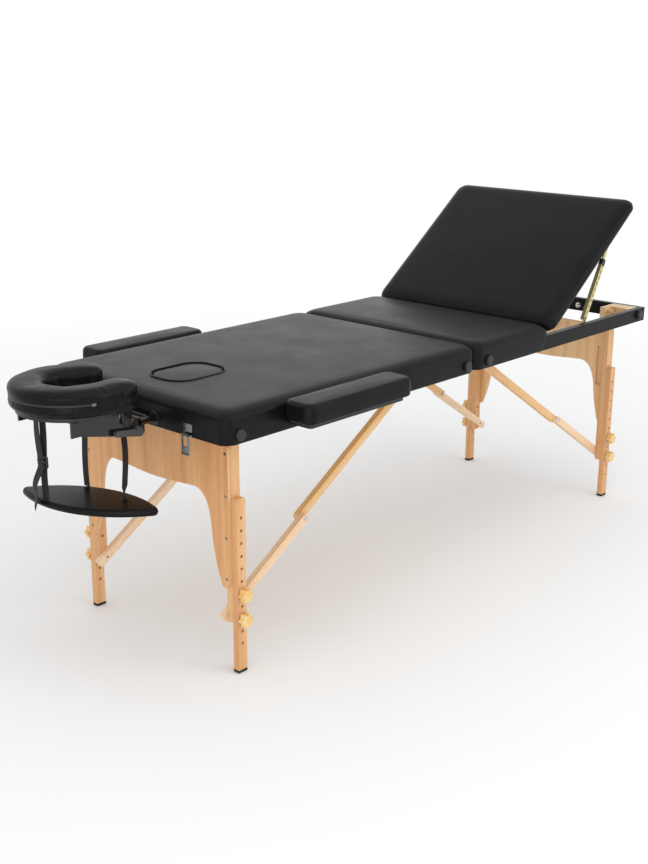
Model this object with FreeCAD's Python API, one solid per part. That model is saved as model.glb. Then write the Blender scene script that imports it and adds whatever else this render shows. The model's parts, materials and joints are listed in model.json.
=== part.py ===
"""Folding treatment table with adjustable legs, tilting backrest, headrest and arm shelf.

Millimetres, Z up, floor at Z = 0, X along the table (head end negative), near side at -Y.
The X origin is moved at export so that it lies under the middle of the whole outline.
"""
import math
import os

import FreeCAD
import Part

V = FreeCAD.Vector

# bed
HALF_LENGTH = 930.0
HALF_WIDTH = 330.0
MID_GAP = 1.0
RAIL_BOTTOM = 598.0
RAIL_HEIGHT = 42.0
RAIL_THICK = 18.0
DECK_THICK = 5.0
CUSHION_THICK = 30.0
CROWN = 3.0
EDGE_ROUND = 24.0
EDGE_REACH = 36.0
BED_CORNER = 30.0
RAIL_TOP = RAIL_BOTTOM + RAIL_HEIGHT
DECK_TOP = RAIL_TOP + DECK_THICK
BED_TOP = DECK_TOP + CUSHION_THICK
RAIL_INNER = HALF_WIDTH - RAIL_THICK
END_INNER = HALF_LENGTH - RAIL_THICK

# breath opening and its plug
BREATH_INSET = 184.0
BREATH_X = -(HALF_LENGTH - BREATH_INSET)
BREATH_RX = 88.0
BREATH_RY = 67.0
BREATH_CORNER = 52.0
BREATH_LEDGE = 9.0
PLUG_GAP = 0.8

# centre hinge
KNUCKLE_R = 4.0
LEAF_THICK = 2.0
HINGE_INSET = 140.0
HINGE_Y = HALF_WIDTH - HINGE_INSET
HINGE_WIDTH = 72.0
HINGE_PIN_R = 1.8
PIN_CLEAR = 0.05
FOLD_Z = RAIL_BOTTOM - KNUCKLE_R

# legs
LEG_INSET = 87.0
LEG_X = HALF_LENGTH - LEG_INSET
LEG_DEPTH = 28.0
LEG_WIDTH = 18.0
LEG_SIDE_INSET = 66.0
LEG_SPLIT_Y = HALF_WIDTH - LEG_SIDE_INSET
SLIDE_GAP = 0.3
PIVOT_RISE = 23.0
PIVOT_Z = RAIL_BOTTOM + PIVOT_RISE
UPPER_LEG_BOTTOM = 124.0
LOWER_LEG_TOP = 445.0
HOLE_COUNT = 11
HOLE_PITCH = 32.0
HOLE_TOP_Z = 397.0
HOLE_R = 4.0
KNOB_HOLES = (6, 8)
KNOB_R = 18.0
KNOB_THICK = 20.0
KNOB_LOBES = 6
CAP_HEIGHT = 8.0
PIVOT_PIN_R = 4.0

# apron between the upper legs
APRON_THICK = 9.0
APRON_DROP = 46.0
APRON_TOP = PIVOT_Z - APRON_DROP
APRON_SIDE_GAP = 1.0
APRON_HALF = LEG_SPLIT_Y - APRON_SIDE_GAP
APRON_CORNER = 18.0
ARCH_DEPTH = 135.0
ARCH_Z = APRON_TOP - ARCH_DEPTH
ARCH_BOW = 9.0
APRON_HEIGHT = 357.0
APRON_FOOT_Z = APRON_TOP - APRON_HEIGHT
APRON_FOOT_WIDTH = 27.0
APRON_SIDE_CURVE = ((41.0, 54.0), (55.0, 124.0), (67.0, 190.0), (85.0, 219.0))
ARCH_START = 113.0
APRON_SCREW_END = 23.0
APRON_SCREWS = 4
RELIEF_DEPTH = 5.5
RELIEF_HEIGHT = 130.0
RELIEF_SIDE = 2.0

# folding braces
BRACE_LOW_Z = 150.0
BRACE_LOW_IN = 1.0
BRACE_TOP_X = 105.0
BRACE_WIDTH = 22.0
BRACE_THICK = 16.0
BRACE_PIN_R = 3.5
LOW_OVERHANG = 28.0
KNEE_OVERHANG = 11.0
FACE_GAP = 0.3

# backrest
BACK_HINGE_X = 372.0
BACK_TILT = 37.0
BACK_GAP = 4.0
BACK_AXIS_Z = DECK_TOP - LEAF_THICK / 2.0
STAY_REACH = 228.0
STAY_RAIL_X = BACK_HINGE_X + STAY_REACH
STAY_RAIL_DROP = 10.0
STAY_RAIL_Z = RAIL_TOP - STAY_RAIL_DROP
STAY_PANEL_INSET = 85.0
STAY_PANEL_S = HALF_LENGTH - BACK_HINGE_X - STAY_PANEL_INSET
STAY_PANEL_DROP = 12.0
STAY_SIDE_GAP = 17.0
STAY_Y = RAIL_INNER - STAY_SIDE_GAP
STAY_CHANNEL = 212.0
STAY_BAR = 215.0
STAY_DEPTH = 16.0
STAY_WIDTH = 12.0
STAY_WALL = 1.5
STAY_SLOTS = 9
STAY_SLOT_PITCH = 19.0

# headrest
PAD_HALF = 140.0
ROD_INSET = 48.0
ROD_Y = PAD_HALF - ROD_INSET
ROD_Z = RAIL_BOTTOM + RAIL_HEIGHT / 2.0
ROD_R = 9.5
ROD_INSERT = 160.0
SOCKET_PAST = 30.0
TILT_REACH = 65.0
TILT_X = -(HALF_LENGTH + TILT_REACH)
TILT_DROP = 15.0
TILT_Z = ROD_Z - TILT_DROP
TIE_REACH = 15.0
TIE_R = 7.0
TANG_HALF = 13.0
TANG_THICK = 6.0
HEAD_ARM_LENGTH = 168.0
HEAD_ARM_HALF = 14.0
HEAD_ARM_THICK = 6.0
POST_LENGTH = 130.0
POST_RISE = 20.0
LEVER_LENGTH = 68.0
TILT_BOLT_R = 4.0
ARM_RISE = 12.5
PAD_BAND = 82.0
PAD_GAP = 48.0
PAD_TIP_X = -(HALF_LENGTH + PAD_GAP)
PAD_STRAIGHT = 114.0
PAD_ARC_X = PAD_TIP_X - PAD_STRAIGHT
PAD_RISE = 65.0
PAD_BOTTOM = TILT_Z + PAD_RISE
PAD_THICK = 60.0
PAD_TOE = 10.0
PAD_YAW = 12.0
PLATE_INSET = 13.0
PLATE_THICK = 9.0

# arm shelf under the headrest
SHELF_SHIFT = 36.0
SHELF_X = PAD_ARC_X + SHELF_SHIFT
SHELF_Y = 6.0
SHELF_HALF = 188.0
SHELF_HALF_WIDTH = 72.0
SHELF_THICK = 18.0
SHELF_HANG = 237.0
SHELF_TOP = PAD_BOTTOM - SHELF_HANG
SHELF_YAW = 20.0
STRAP_THICK = 2.0
STRAP_GAP = 1.5
FRONT_STRAP_OUT = 44.0
FRONT_STRAP_Y = 60.0
FRONT_STRAP_WIDTH = 25.0
BACK_STRAP_INSET = 34.0
BACK_STRAP_X = PAD_TIP_X - BACK_STRAP_INSET
BACK_STRAP_Y = 71.0
BACK_STRAP_WIDTH = 21.0

# arm supports at the sides of the head half
ARM_END_INSET = 172.0
ARM_LENGTH = 372.0
ARM_X0 = -(HALF_LENGTH - ARM_END_INSET)
ARM_X1 = ARM_X0 + ARM_LENGTH
ARM_GAP = 2.0
ARM_WIDTH = 89.0
ARM_INNER = HALF_WIDTH + ARM_GAP
ARM_OUTER = ARM_INNER + ARM_WIDTH
ARM_BOARD_RISE = 16.0
ARM_BOARD_Z = RAIL_BOTTOM + ARM_BOARD_RISE
ARM_HEIGHT = 62.0
ARM_TOP = ARM_BOARD_Z + ARM_HEIGHT
ARM_BOARD_INSET = 16.0
ARM_BOARD_THICK = 12.0
ARM_PIN_R = 6.0
ARM_PIN_INSET = 52.0
ARM_PIN_PAST = 5.0
ARM_PIN_END = RAIL_INNER - ARM_PIN_PAST

# case hardware
BUMPER_R = 14.0
BUMPER_THICK = 11.0
BUMPER_RISE = 22.0
BUMPER_Z = RAIL_BOTTOM + BUMPER_RISE
BUMPER_INSET = 39.0
HEAD_BUMPERS = (-(HALF_LENGTH - BUMPER_INSET), -45.0)
FOOT_BUMPERS = (55.0, HALF_LENGTH - BUMPER_INSET)
LATCH_INSET = 125.0
LATCH_Y = HALF_WIDTH - LATCH_INSET
LATCH_WIDTH = 30.0
LATCH_RISE = 5.0
LATCH_PIVOT_Z = RAIL_BOTTOM + LATCH_RISE
LATCH_REACH = 45.0
LATCH_STAND = 8.5
CATCH_LOW = 4.0
CATCH_HIGH = 30.0

X_MIN = PAD_ARC_X - PAD_HALF
X_MAX = HALF_LENGTH + LEAF_THICK + 2.0
SHIFT = V(-(X_MIN + X_MAX) / 2.0, 0, 0)


def box(x0, x1, y0, y1, z0, z1):
    """Box between two opposite corners."""
    return Part.makeBox(x1 - x0, y1 - y0, z1 - z0, V(x0, y0, z0))


def rod(p, q, r):
    """Round bar between two points."""
    p, q = V(*p), V(*q)
    return Part.makeCylinder(r, (q - p).Length, p, q - p)


def pair(shape):
    """A near-side shape and its mirror image on the far side."""
    return [shape, shape.mirror(V(0, 0, 0), V(0, 1, 0))]


def flip_x(shape):
    """The same shape at the other end of the table."""
    return shape.mirror(V(0, 0, 0), V(1, 0, 0))


def group(shapes):
    """Separate solids kept in one node."""
    return Part.makeCompound(shapes)


def turned(shape, x, z, degrees):
    """Turn a shape about a cross axis; positive lifts its +X side."""
    out = shape.copy()
    out.rotate(V(x, 0, z), V(0, -1, 0), degrees)
    return out


def plate(points, axis, thick):
    """Flat piece cut along a polygon, given thickness along an axis vector."""
    wire = Part.makePolygon([V(*p) for p in points] + [V(*points[0])])
    return Part.Face(wire).extrude(V(*axis) * thick)


def round_edges(shape, radius, chosen):
    """Fillet the edges whose middle point satisfies a test."""
    edges = [e for e in shape.Edges if chosen(e)]
    return shape.makeFillet(radius, edges)


def edge_mid(edge):
    """Middle point of an edge."""
    return edge.valueAt((edge.FirstParameter + edge.LastParameter) / 2.0)


def upright(edge):
    """True for a straight edge along Z."""
    a, b = edge.Vertexes[0].Point, edge.Vertexes[-1].Point
    return abs((b - a).z) > 1.0 and math.hypot((b - a).x, (b - a).y) < 0.01


def round_end(reach, drop):
    """Height left at distances in from a cushion end that is rounded over as a quarter ellipse."""
    steps = (0.0, 0.1, 0.3, 0.6, 1.0)
    return [(d * reach, CUSHION_THICK - drop + drop * math.sqrt(1 - (1 - d) ** 2)) for d in steps]


def bevelled_end(radius, half_angle):
    """Cushion end drawn back by half the backrest's travel, then rounded over."""
    low = CUSHION_THICK - radius
    lean = math.tan(math.radians(half_angle))
    rows = [(0.0, 2.0), ((low - 2.0) * lean, low)]
    base = low * lean
    for d in (0.1, 0.3, 0.6, 1.0):
        rows.append((base + d * radius, low + radius * math.sqrt(1 - (1 - d) ** 2)))
    return rows


def cushion_section(x, height, crown):
    """Cross outline of a cushion: drawn-in foot, full side, round shoulder, crowned top."""
    r = min(EDGE_ROUND, 0.8 * height)
    reach = r * EDGE_REACH / EDGE_ROUND
    w = HALF_WIDTH
    side = [(w - 2.0, 0.0), (w - 0.4, 0.3 * (height - r)), (w, 0.7 * (height - r))]
    for deg in (0, 30, 60, 90):
        a = math.radians(deg)
        side.append((w - reach + reach * math.cos(a), height - r + r * math.sin(a)))
    for f in (0.75, 0.4):
        side.append((f * w, height + crown * (1 - f * f)))
    half = side + [(0.0, height + crown)]
    points = half + [(-y, z) for y, z in reversed(side)]
    curve = Part.BSplineCurve()
    curve.interpolate([V(x, y, DECK_TOP + z) for y, z in points])
    top = curve.toShape()
    base = Part.makeLine(top.Vertexes[-1].Point, top.Vertexes[0].Point)
    return Part.Wire([top, base])


def cushion(x0, x1, end0, end1):
    """Padded block over a deck, rounded at both ends and crowned along its length."""
    rows = [(x0 + d, h) for d, h in end0]
    rows += [(x1 - d, h) for d, h in reversed(end1)]
    middle = 0.5 * (x0 + x1)
    rows.insert(len(end0), (middle, CUSHION_THICK))
    wires = []
    for x, h in rows:
        fill = 1.0 - ((x - middle) / (0.5 * (x1 - x0))) ** 2
        wires.append(cushion_section(x, h, CROWN * fill + 0.2))
    return soft_corners(Part.makeLoft(wires, True, True), (x0, x1))


def soft_corners(shape, ends):
    """Round the plan corners of a bed piece at the given ends."""
    r = BED_CORNER
    middle = edge_middle(shape)
    for x in ends:
        inward = r if x < middle else -r
        for y in (-HALF_WIDTH, HALF_WIDTH):
            centre = V(x + inward, y - math.copysign(r, y), RAIL_BOTTOM - 1)
            x0, x1 = sorted((x - inward / r, centre.x))
            y0, y1 = sorted((y + math.copysign(1, y), centre.y))
            waste = box(x0, x1, y0, y1, RAIL_BOTTOM - 1, BED_TOP + 20)
            shape = shape.cut(waste.cut(Part.makeCylinder(r, BED_TOP + 30 - RAIL_BOTTOM, centre)))
    return shape


def edge_middle(shape):
    """Middle of a shape along the table."""
    return 0.5 * (shape.BoundBox.XMin + shape.BoundBox.XMax)


def oval(grow, z0, z1):
    """Upright block on the breath opening's rounded outline, grown by a margin."""
    rx, ry = BREATH_RX + grow, BREATH_RY + grow
    block = box(BREATH_X - rx, BREATH_X + rx, -ry, ry, z0, z1)
    return round_edges(block, BREATH_CORNER + grow, upright)


def soft_block(x0, x1, y0, y1, z0, z1, corner, top, bottom):
    """Upholstered block with round corners and a softened top and bottom edge."""
    out = box(x0, x1, y0, y1, z0, z1)
    out = round_edges(out, corner, upright)
    out = round_edges(out, top, lambda e: edge_mid(e).z > z1 - 0.01)
    return round_edges(out, bottom, lambda e: edge_mid(e).z < z0 + 0.01)


def knuckle(x, z, y0, y1, outer, inner):
    """Hinge barrel along Y with its pin hole."""
    barrel = rod((x, y0, z), (x, y1, z), outer)
    return barrel.cut(rod((x, y0 - 1, z), (x, y1 + 1, z), inner))


class Frame:
    """One half of the folding frame, drawn for the head end."""

    def rails(self, bores, ends):
        """Two side rails, the end rail and the rail at the centre fold, with round corners at some ends."""
        near = box(-HALF_LENGTH, -MID_GAP, -HALF_WIDTH, -RAIL_INNER, RAIL_BOTTOM, RAIL_TOP)
        end = box(-HALF_LENGTH, -END_INNER, -RAIL_INNER, RAIL_INNER, RAIL_BOTTOM, RAIL_TOP)
        fold = box(-MID_GAP - RAIL_THICK, -MID_GAP, -RAIL_INNER, RAIL_INNER, RAIL_BOTTOM, RAIL_TOP)
        out = []
        for piece in pair(near) + [end, fold]:
            for bore in bores:
                piece = piece.cut(bore)
            out.append(piece)
        return [soft_corners(side, ends) for side in out[:2]] + out[2:]

    def blocks(self):
        """Leg pivot blocks in the end corners and brace blocks near the fold."""
        leg_in = LEG_SPLIT_Y - LEG_WIDTH
        cheek_in = leg_in - 20.0
        back = LEG_X + LEG_DEPTH / 2.0 + 5.0
        body = box(-END_INNER, -back, -RAIL_INNER, -cheek_in, PIVOT_Z - 18.0, RAIL_TOP)
        cheek = box(-back, -LEG_X + 14.0, -leg_in + SLIDE_GAP, -cheek_in, PIVOT_Z - 18.0, RAIL_TOP)
        leg_block = body.fuse(cheek).removeSplitter()
        leg_block = leg_block.cut(self.pivot_pin(PIVOT_PIN_R + PIN_CLEAR))
        y = brace_planes()[1] + FACE_GAP
        brace_block = box(-BRACE_TOP_X - 30.0, -BRACE_TOP_X + 30.0, -y - 28.0, -y, PIVOT_Z - 18.0, RAIL_TOP)
        brace_block = brace_block.cut(self.brace_pin(BRACE_PIN_R + PIN_CLEAR))
        return pair(leg_block) + pair(brace_block)

    def pivot_pin(self, r):
        """Bolt on which a leg turns, from the outer leg face into the block."""
        y0 = LEG_SPLIT_Y
        return rod((-LEG_X, -y0, PIVOT_Z), (-LEG_X, -y0 + LEG_WIDTH + 14.0, PIVOT_Z), r)

    def brace_pin(self, r):
        """Bolt that carries the upper end of a brace."""
        y = brace_planes()[1]
        return rod((-BRACE_TOP_X, -y - 20.0, PIVOT_Z), (-BRACE_TOP_X, -y + BRACE_THICK, PIVOT_Z), r)


def brace_planes():
    """Outer faces, as distance from the middle, of the lower and upper brace links."""
    low = LEG_SPLIT_Y - LEG_WIDTH - FACE_GAP
    return low, low - BRACE_THICK - FACE_GAP


def brace_lengths():
    """Link lengths that lie flat when folded and straight when open."""
    span = LEG_X - BRACE_LOW_IN - BRACE_TOP_X
    reach = PIVOT_Z - BRACE_LOW_Z
    total = math.hypot(span, reach)
    folded = math.hypot(LEG_X - reach - BRACE_TOP_X, BRACE_LOW_IN)
    return 0.5 * (total - folded), 0.5 * (total + folded), math.atan2(reach, span)


def link(length, before, after, outer_y, bores):
    """Flat wooden link along +X from its first pivot, with overhang at both ends."""
    half = BRACE_WIDTH / 2.0
    bar = box(-before, length + after, -outer_y, -outer_y + BRACE_THICK, -half, half)
    bar = round_edges(bar, half - 0.5, lambda e: abs(edge_mid(e).x) > 0.1 and across(e) and
                      (edge_mid(e).x > 0.5 * length or before <= half))
    for x, r in bores:
        bar = bar.cut(rod((x, -outer_y - 1, 0), (x, -outer_y + BRACE_THICK + 1, 0), r))
    return bar


def across(edge):
    """True for a straight edge along Y."""
    a, b = edge.Vertexes[0].Point, edge.Vertexes[-1].Point
    return abs((b - a).y) > 1.0 and abs((b - a).x) < 0.01 and abs((b - a).z) < 0.01


class Legs:
    """Leg frame of the head end with its telescopic lower legs and folding braces."""

    x0 = -LEG_X - LEG_DEPTH / 2.0
    x1 = -LEG_X + LEG_DEPTH / 2.0
    frame = Frame()

    def hole_heights(self):
        """Heights of the adjustment holes, top first."""
        return [HOLE_TOP_Z - HOLE_PITCH * i for i in range(HOLE_COUNT)]

    def knob_heights(self):
        """Heights of the two clamping knobs."""
        return [self.hole_heights()[i] for i in KNOB_HOLES]

    def upper(self):
        """Near upper leg with a round top, knob bores and the brace bolt bore."""
        y0, y1 = -LEG_SPLIT_Y, -LEG_SPLIT_Y + LEG_WIDTH
        leg = box(self.x0, self.x1, y0, y1, UPPER_LEG_BOTTOM, PIVOT_Z + LEG_DEPTH / 2.0)
        leg = round_edges(leg, LEG_DEPTH / 2.0 - 0.5, lambda e: across(e) and edge_mid(e).z > PIVOT_Z)
        leg = round_edges(leg, 10.0, lambda e: across(e) and edge_mid(e).z < UPPER_LEG_BOTTOM + 1)
        for z in self.knob_heights():
            leg = leg.cut(rod((-LEG_X, y0 - 1, z), (-LEG_X, y1 + 1, z), HOLE_R))
        leg = leg.cut(self.frame.pivot_pin(PIVOT_PIN_R))
        for screw in self.screws():
            leg = leg.cut(screw)
        return leg.cut(self.brace_bolt(BRACE_PIN_R))

    def lower(self):
        """Near lower leg with its row of holes and round upper corners."""
        y1 = -LEG_SPLIT_Y - SLIDE_GAP
        y0 = y1 - LEG_WIDTH
        leg = box(self.x0, self.x1, y0, y1, CAP_HEIGHT, LOWER_LEG_TOP)
        leg = round_edges(leg, 6.0, lambda e: across(e) and edge_mid(e).z > LOWER_LEG_TOP - 1)
        for z in self.hole_heights():
            leg = leg.cut(rod((-LEG_X, y0 - 1, z), (-LEG_X, y1 + 1, z), HOLE_R))
        return leg

    def cap(self):
        """Near rubber pad under the lower leg."""
        y1 = -LEG_SPLIT_Y - SLIDE_GAP
        y0 = y1 - LEG_WIDTH
        pad = box(self.x0, self.x1, y0, y1, 0, CAP_HEIGHT)
        return round_edges(pad, 2.0, lambda e: edge_mid(e).z < 0.01)

    def knob(self, z):
        """Near lobed hand knob seated on the lower leg's outer face."""
        y = -LEG_SPLIT_Y - SLIDE_GAP - LEG_WIDTH - FACE_GAP
        grip = 0.72 * KNOB_R
        body = rod((-LEG_X, y - 5.0, z), (-LEG_X, y - KNOB_THICK, z), grip)
        for i in range(KNOB_LOBES):
            a = 2 * math.pi * i / KNOB_LOBES
            x = -LEG_X + grip * math.cos(a)
            lobe = rod((x, y - 5.0, z + grip * math.sin(a)), (x, y - KNOB_THICK, z + grip * math.sin(a)),
                       KNOB_R - grip)
            body = body.fuse(lobe)
        body = body.removeSplitter()
        body = round_edges(body, 1.6, lambda e: edge_mid(e).y < y - KNOB_THICK + 0.01)
        return body.fuse(rod((-LEG_X, y, z), (-LEG_X, y - 5.0, z), 0.55 * KNOB_R))

    def apron(self):
        """Plywood apron with an arched cut between its two legs."""
        x = self.x0 - APRON_THICK
        c = APRON_CORNER
        outer = APRON_HALF
        inner = outer - APRON_FOOT_WIDTH
        foot_r = 0.5 * (outer - inner)
        top = APRON_TOP
        d = c * (1 - math.sqrt(0.5))
        right = [
            Part.makeLine(V(x, -outer + c, top), V(x, outer - c, top)),
            Part.Arc(V(x, outer - c, top), V(x, outer - d, top - d), V(x, outer, top - c)).toShape(),
            Part.makeLine(V(x, outer, top - c), V(x, outer, APRON_FOOT_Z + foot_r)),
            Part.Arc(V(x, outer, APRON_FOOT_Z + foot_r), V(x, outer - foot_r, APRON_FOOT_Z),
                     V(x, inner, APRON_FOOT_Z + foot_r)).toShape(),
        ]
        shoulder = Part.BSplineCurve()
        start = outer - ARCH_START
        side = [(inner, APRON_FOOT_Z + foot_r)]
        side += [(outer - y, APRON_FOOT_Z + z) for y, z in APRON_SIDE_CURVE]
        side += [(start, ARCH_Z + ARCH_BOW)]
        shoulder.interpolate([V(x, y, z) for y, z in side])
        crown = Part.BSplineCurve()
        bow = ((1.0, 1.0), (0.53, 0.44), (0.0, 0.0), (-0.53, 0.44), (-1.0, 1.0))
        crown.interpolate([V(x, y * start, ARCH_Z + z * ARCH_BOW) for y, z in bow])
        other = Part.BSplineCurve()
        other.interpolate([V(x, -y, z) for y, z in reversed(side)])
        left = [
            Part.Arc(V(x, -inner, APRON_FOOT_Z + foot_r), V(x, -outer + foot_r, APRON_FOOT_Z),
                     V(x, -outer, APRON_FOOT_Z + foot_r)).toShape(),
            Part.makeLine(V(x, -outer, APRON_FOOT_Z + foot_r), V(x, -outer, top - c)),
            Part.Arc(V(x, -outer, top - c), V(x, -outer + d, top - d), V(x, -outer + c, top)).toShape(),
        ]
        wire = Part.Wire(right + [shoulder.toShape(), crown.toShape(), other.toShape()] + left)
        board = Part.Face(wire).extrude(V(APRON_THICK, 0, 0))
        for y_side in (-1, 1):
            for screw in self.screws():
                board = board.cut(screw if y_side < 0 else screw.mirror(V(0, 0, 0), V(0, 1, 0)))
        for relief in pair(self.relief()):
            board = board.cut(relief)
        return board

    def relief(self):
        """Pocket in the apron's hidden face where the knee of a folding brace passes."""
        y0 = -brace_planes()[1] - RELIEF_SIDE
        y1 = y0 + BRACE_THICK + 2 * RELIEF_SIDE
        z0 = ARCH_Z - 0.5 * RELIEF_HEIGHT
        return box(self.x0 - RELIEF_DEPTH, self.x0 + 1, y0, y1, z0, z0 + RELIEF_HEIGHT)

    def screws(self):
        """Near screws that hold the apron to the leg, heads flush in its face."""
        y = -LEG_SPLIT_Y + LEG_WIDTH / 2.0
        x = self.x0 - APRON_THICK
        out = []
        step = (APRON_HEIGHT - 2 * APRON_SCREW_END) / (APRON_SCREWS - 1)
        for i in range(APRON_SCREWS):
            z = APRON_TOP - APRON_SCREW_END - step * i
            head = Part.makeCone(4.2, 2.0, 3.0, V(x, y, z), V(1, 0, 0))
            out.append(head.fuse(rod((x, y, z), (x + 26.0, y, z), 2.0)).removeSplitter())
        return out

    def brace_bolt(self, r):
        """Near bolt on which the lower link turns."""
        y = LEG_SPLIT_Y - 6.0
        low = brace_planes()[0]
        x = -LEG_X + BRACE_LOW_IN
        return rod((x, -y, BRACE_LOW_Z), (x, -low + BRACE_THICK, BRACE_LOW_Z), r)

    def fasteners(self):
        """Apron screws, leg pivot bolts and lower brace bolts."""
        near = self.screws() + [self.frame.pivot_pin(PIVOT_PIN_R), self.brace_bolt(BRACE_PIN_R)]
        out = []
        for piece in near:
            out += pair(piece)
        return out

    def braces(self):
        """Lower links, and upper links with their bolts, in the open, straight position."""
        low_len, high_len, angle = brace_lengths()
        low_y, high_y = brace_planes()
        bore = BRACE_PIN_R + PIN_CLEAR
        low = link(low_len, LOW_OVERHANG, BRACE_WIDTH / 2.0, low_y, [(0.0, bore)])
        high = link(high_len, BRACE_WIDTH / 2.0, KNEE_OVERHANG, high_y, [(0.0, BRACE_PIN_R)])
        low = turned(low, 0, 0, math.degrees(angle))
        low.translate(V(-LEG_X + BRACE_LOW_IN, 0, BRACE_LOW_Z))
        high = turned(high, 0, 0, 180.0 + math.degrees(angle))
        high.translate(V(-BRACE_TOP_X, 0, PIVOT_Z))
        pin = self.frame.brace_pin(BRACE_PIN_R)
        return pair(low), pair(high) + pair(pin)


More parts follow.
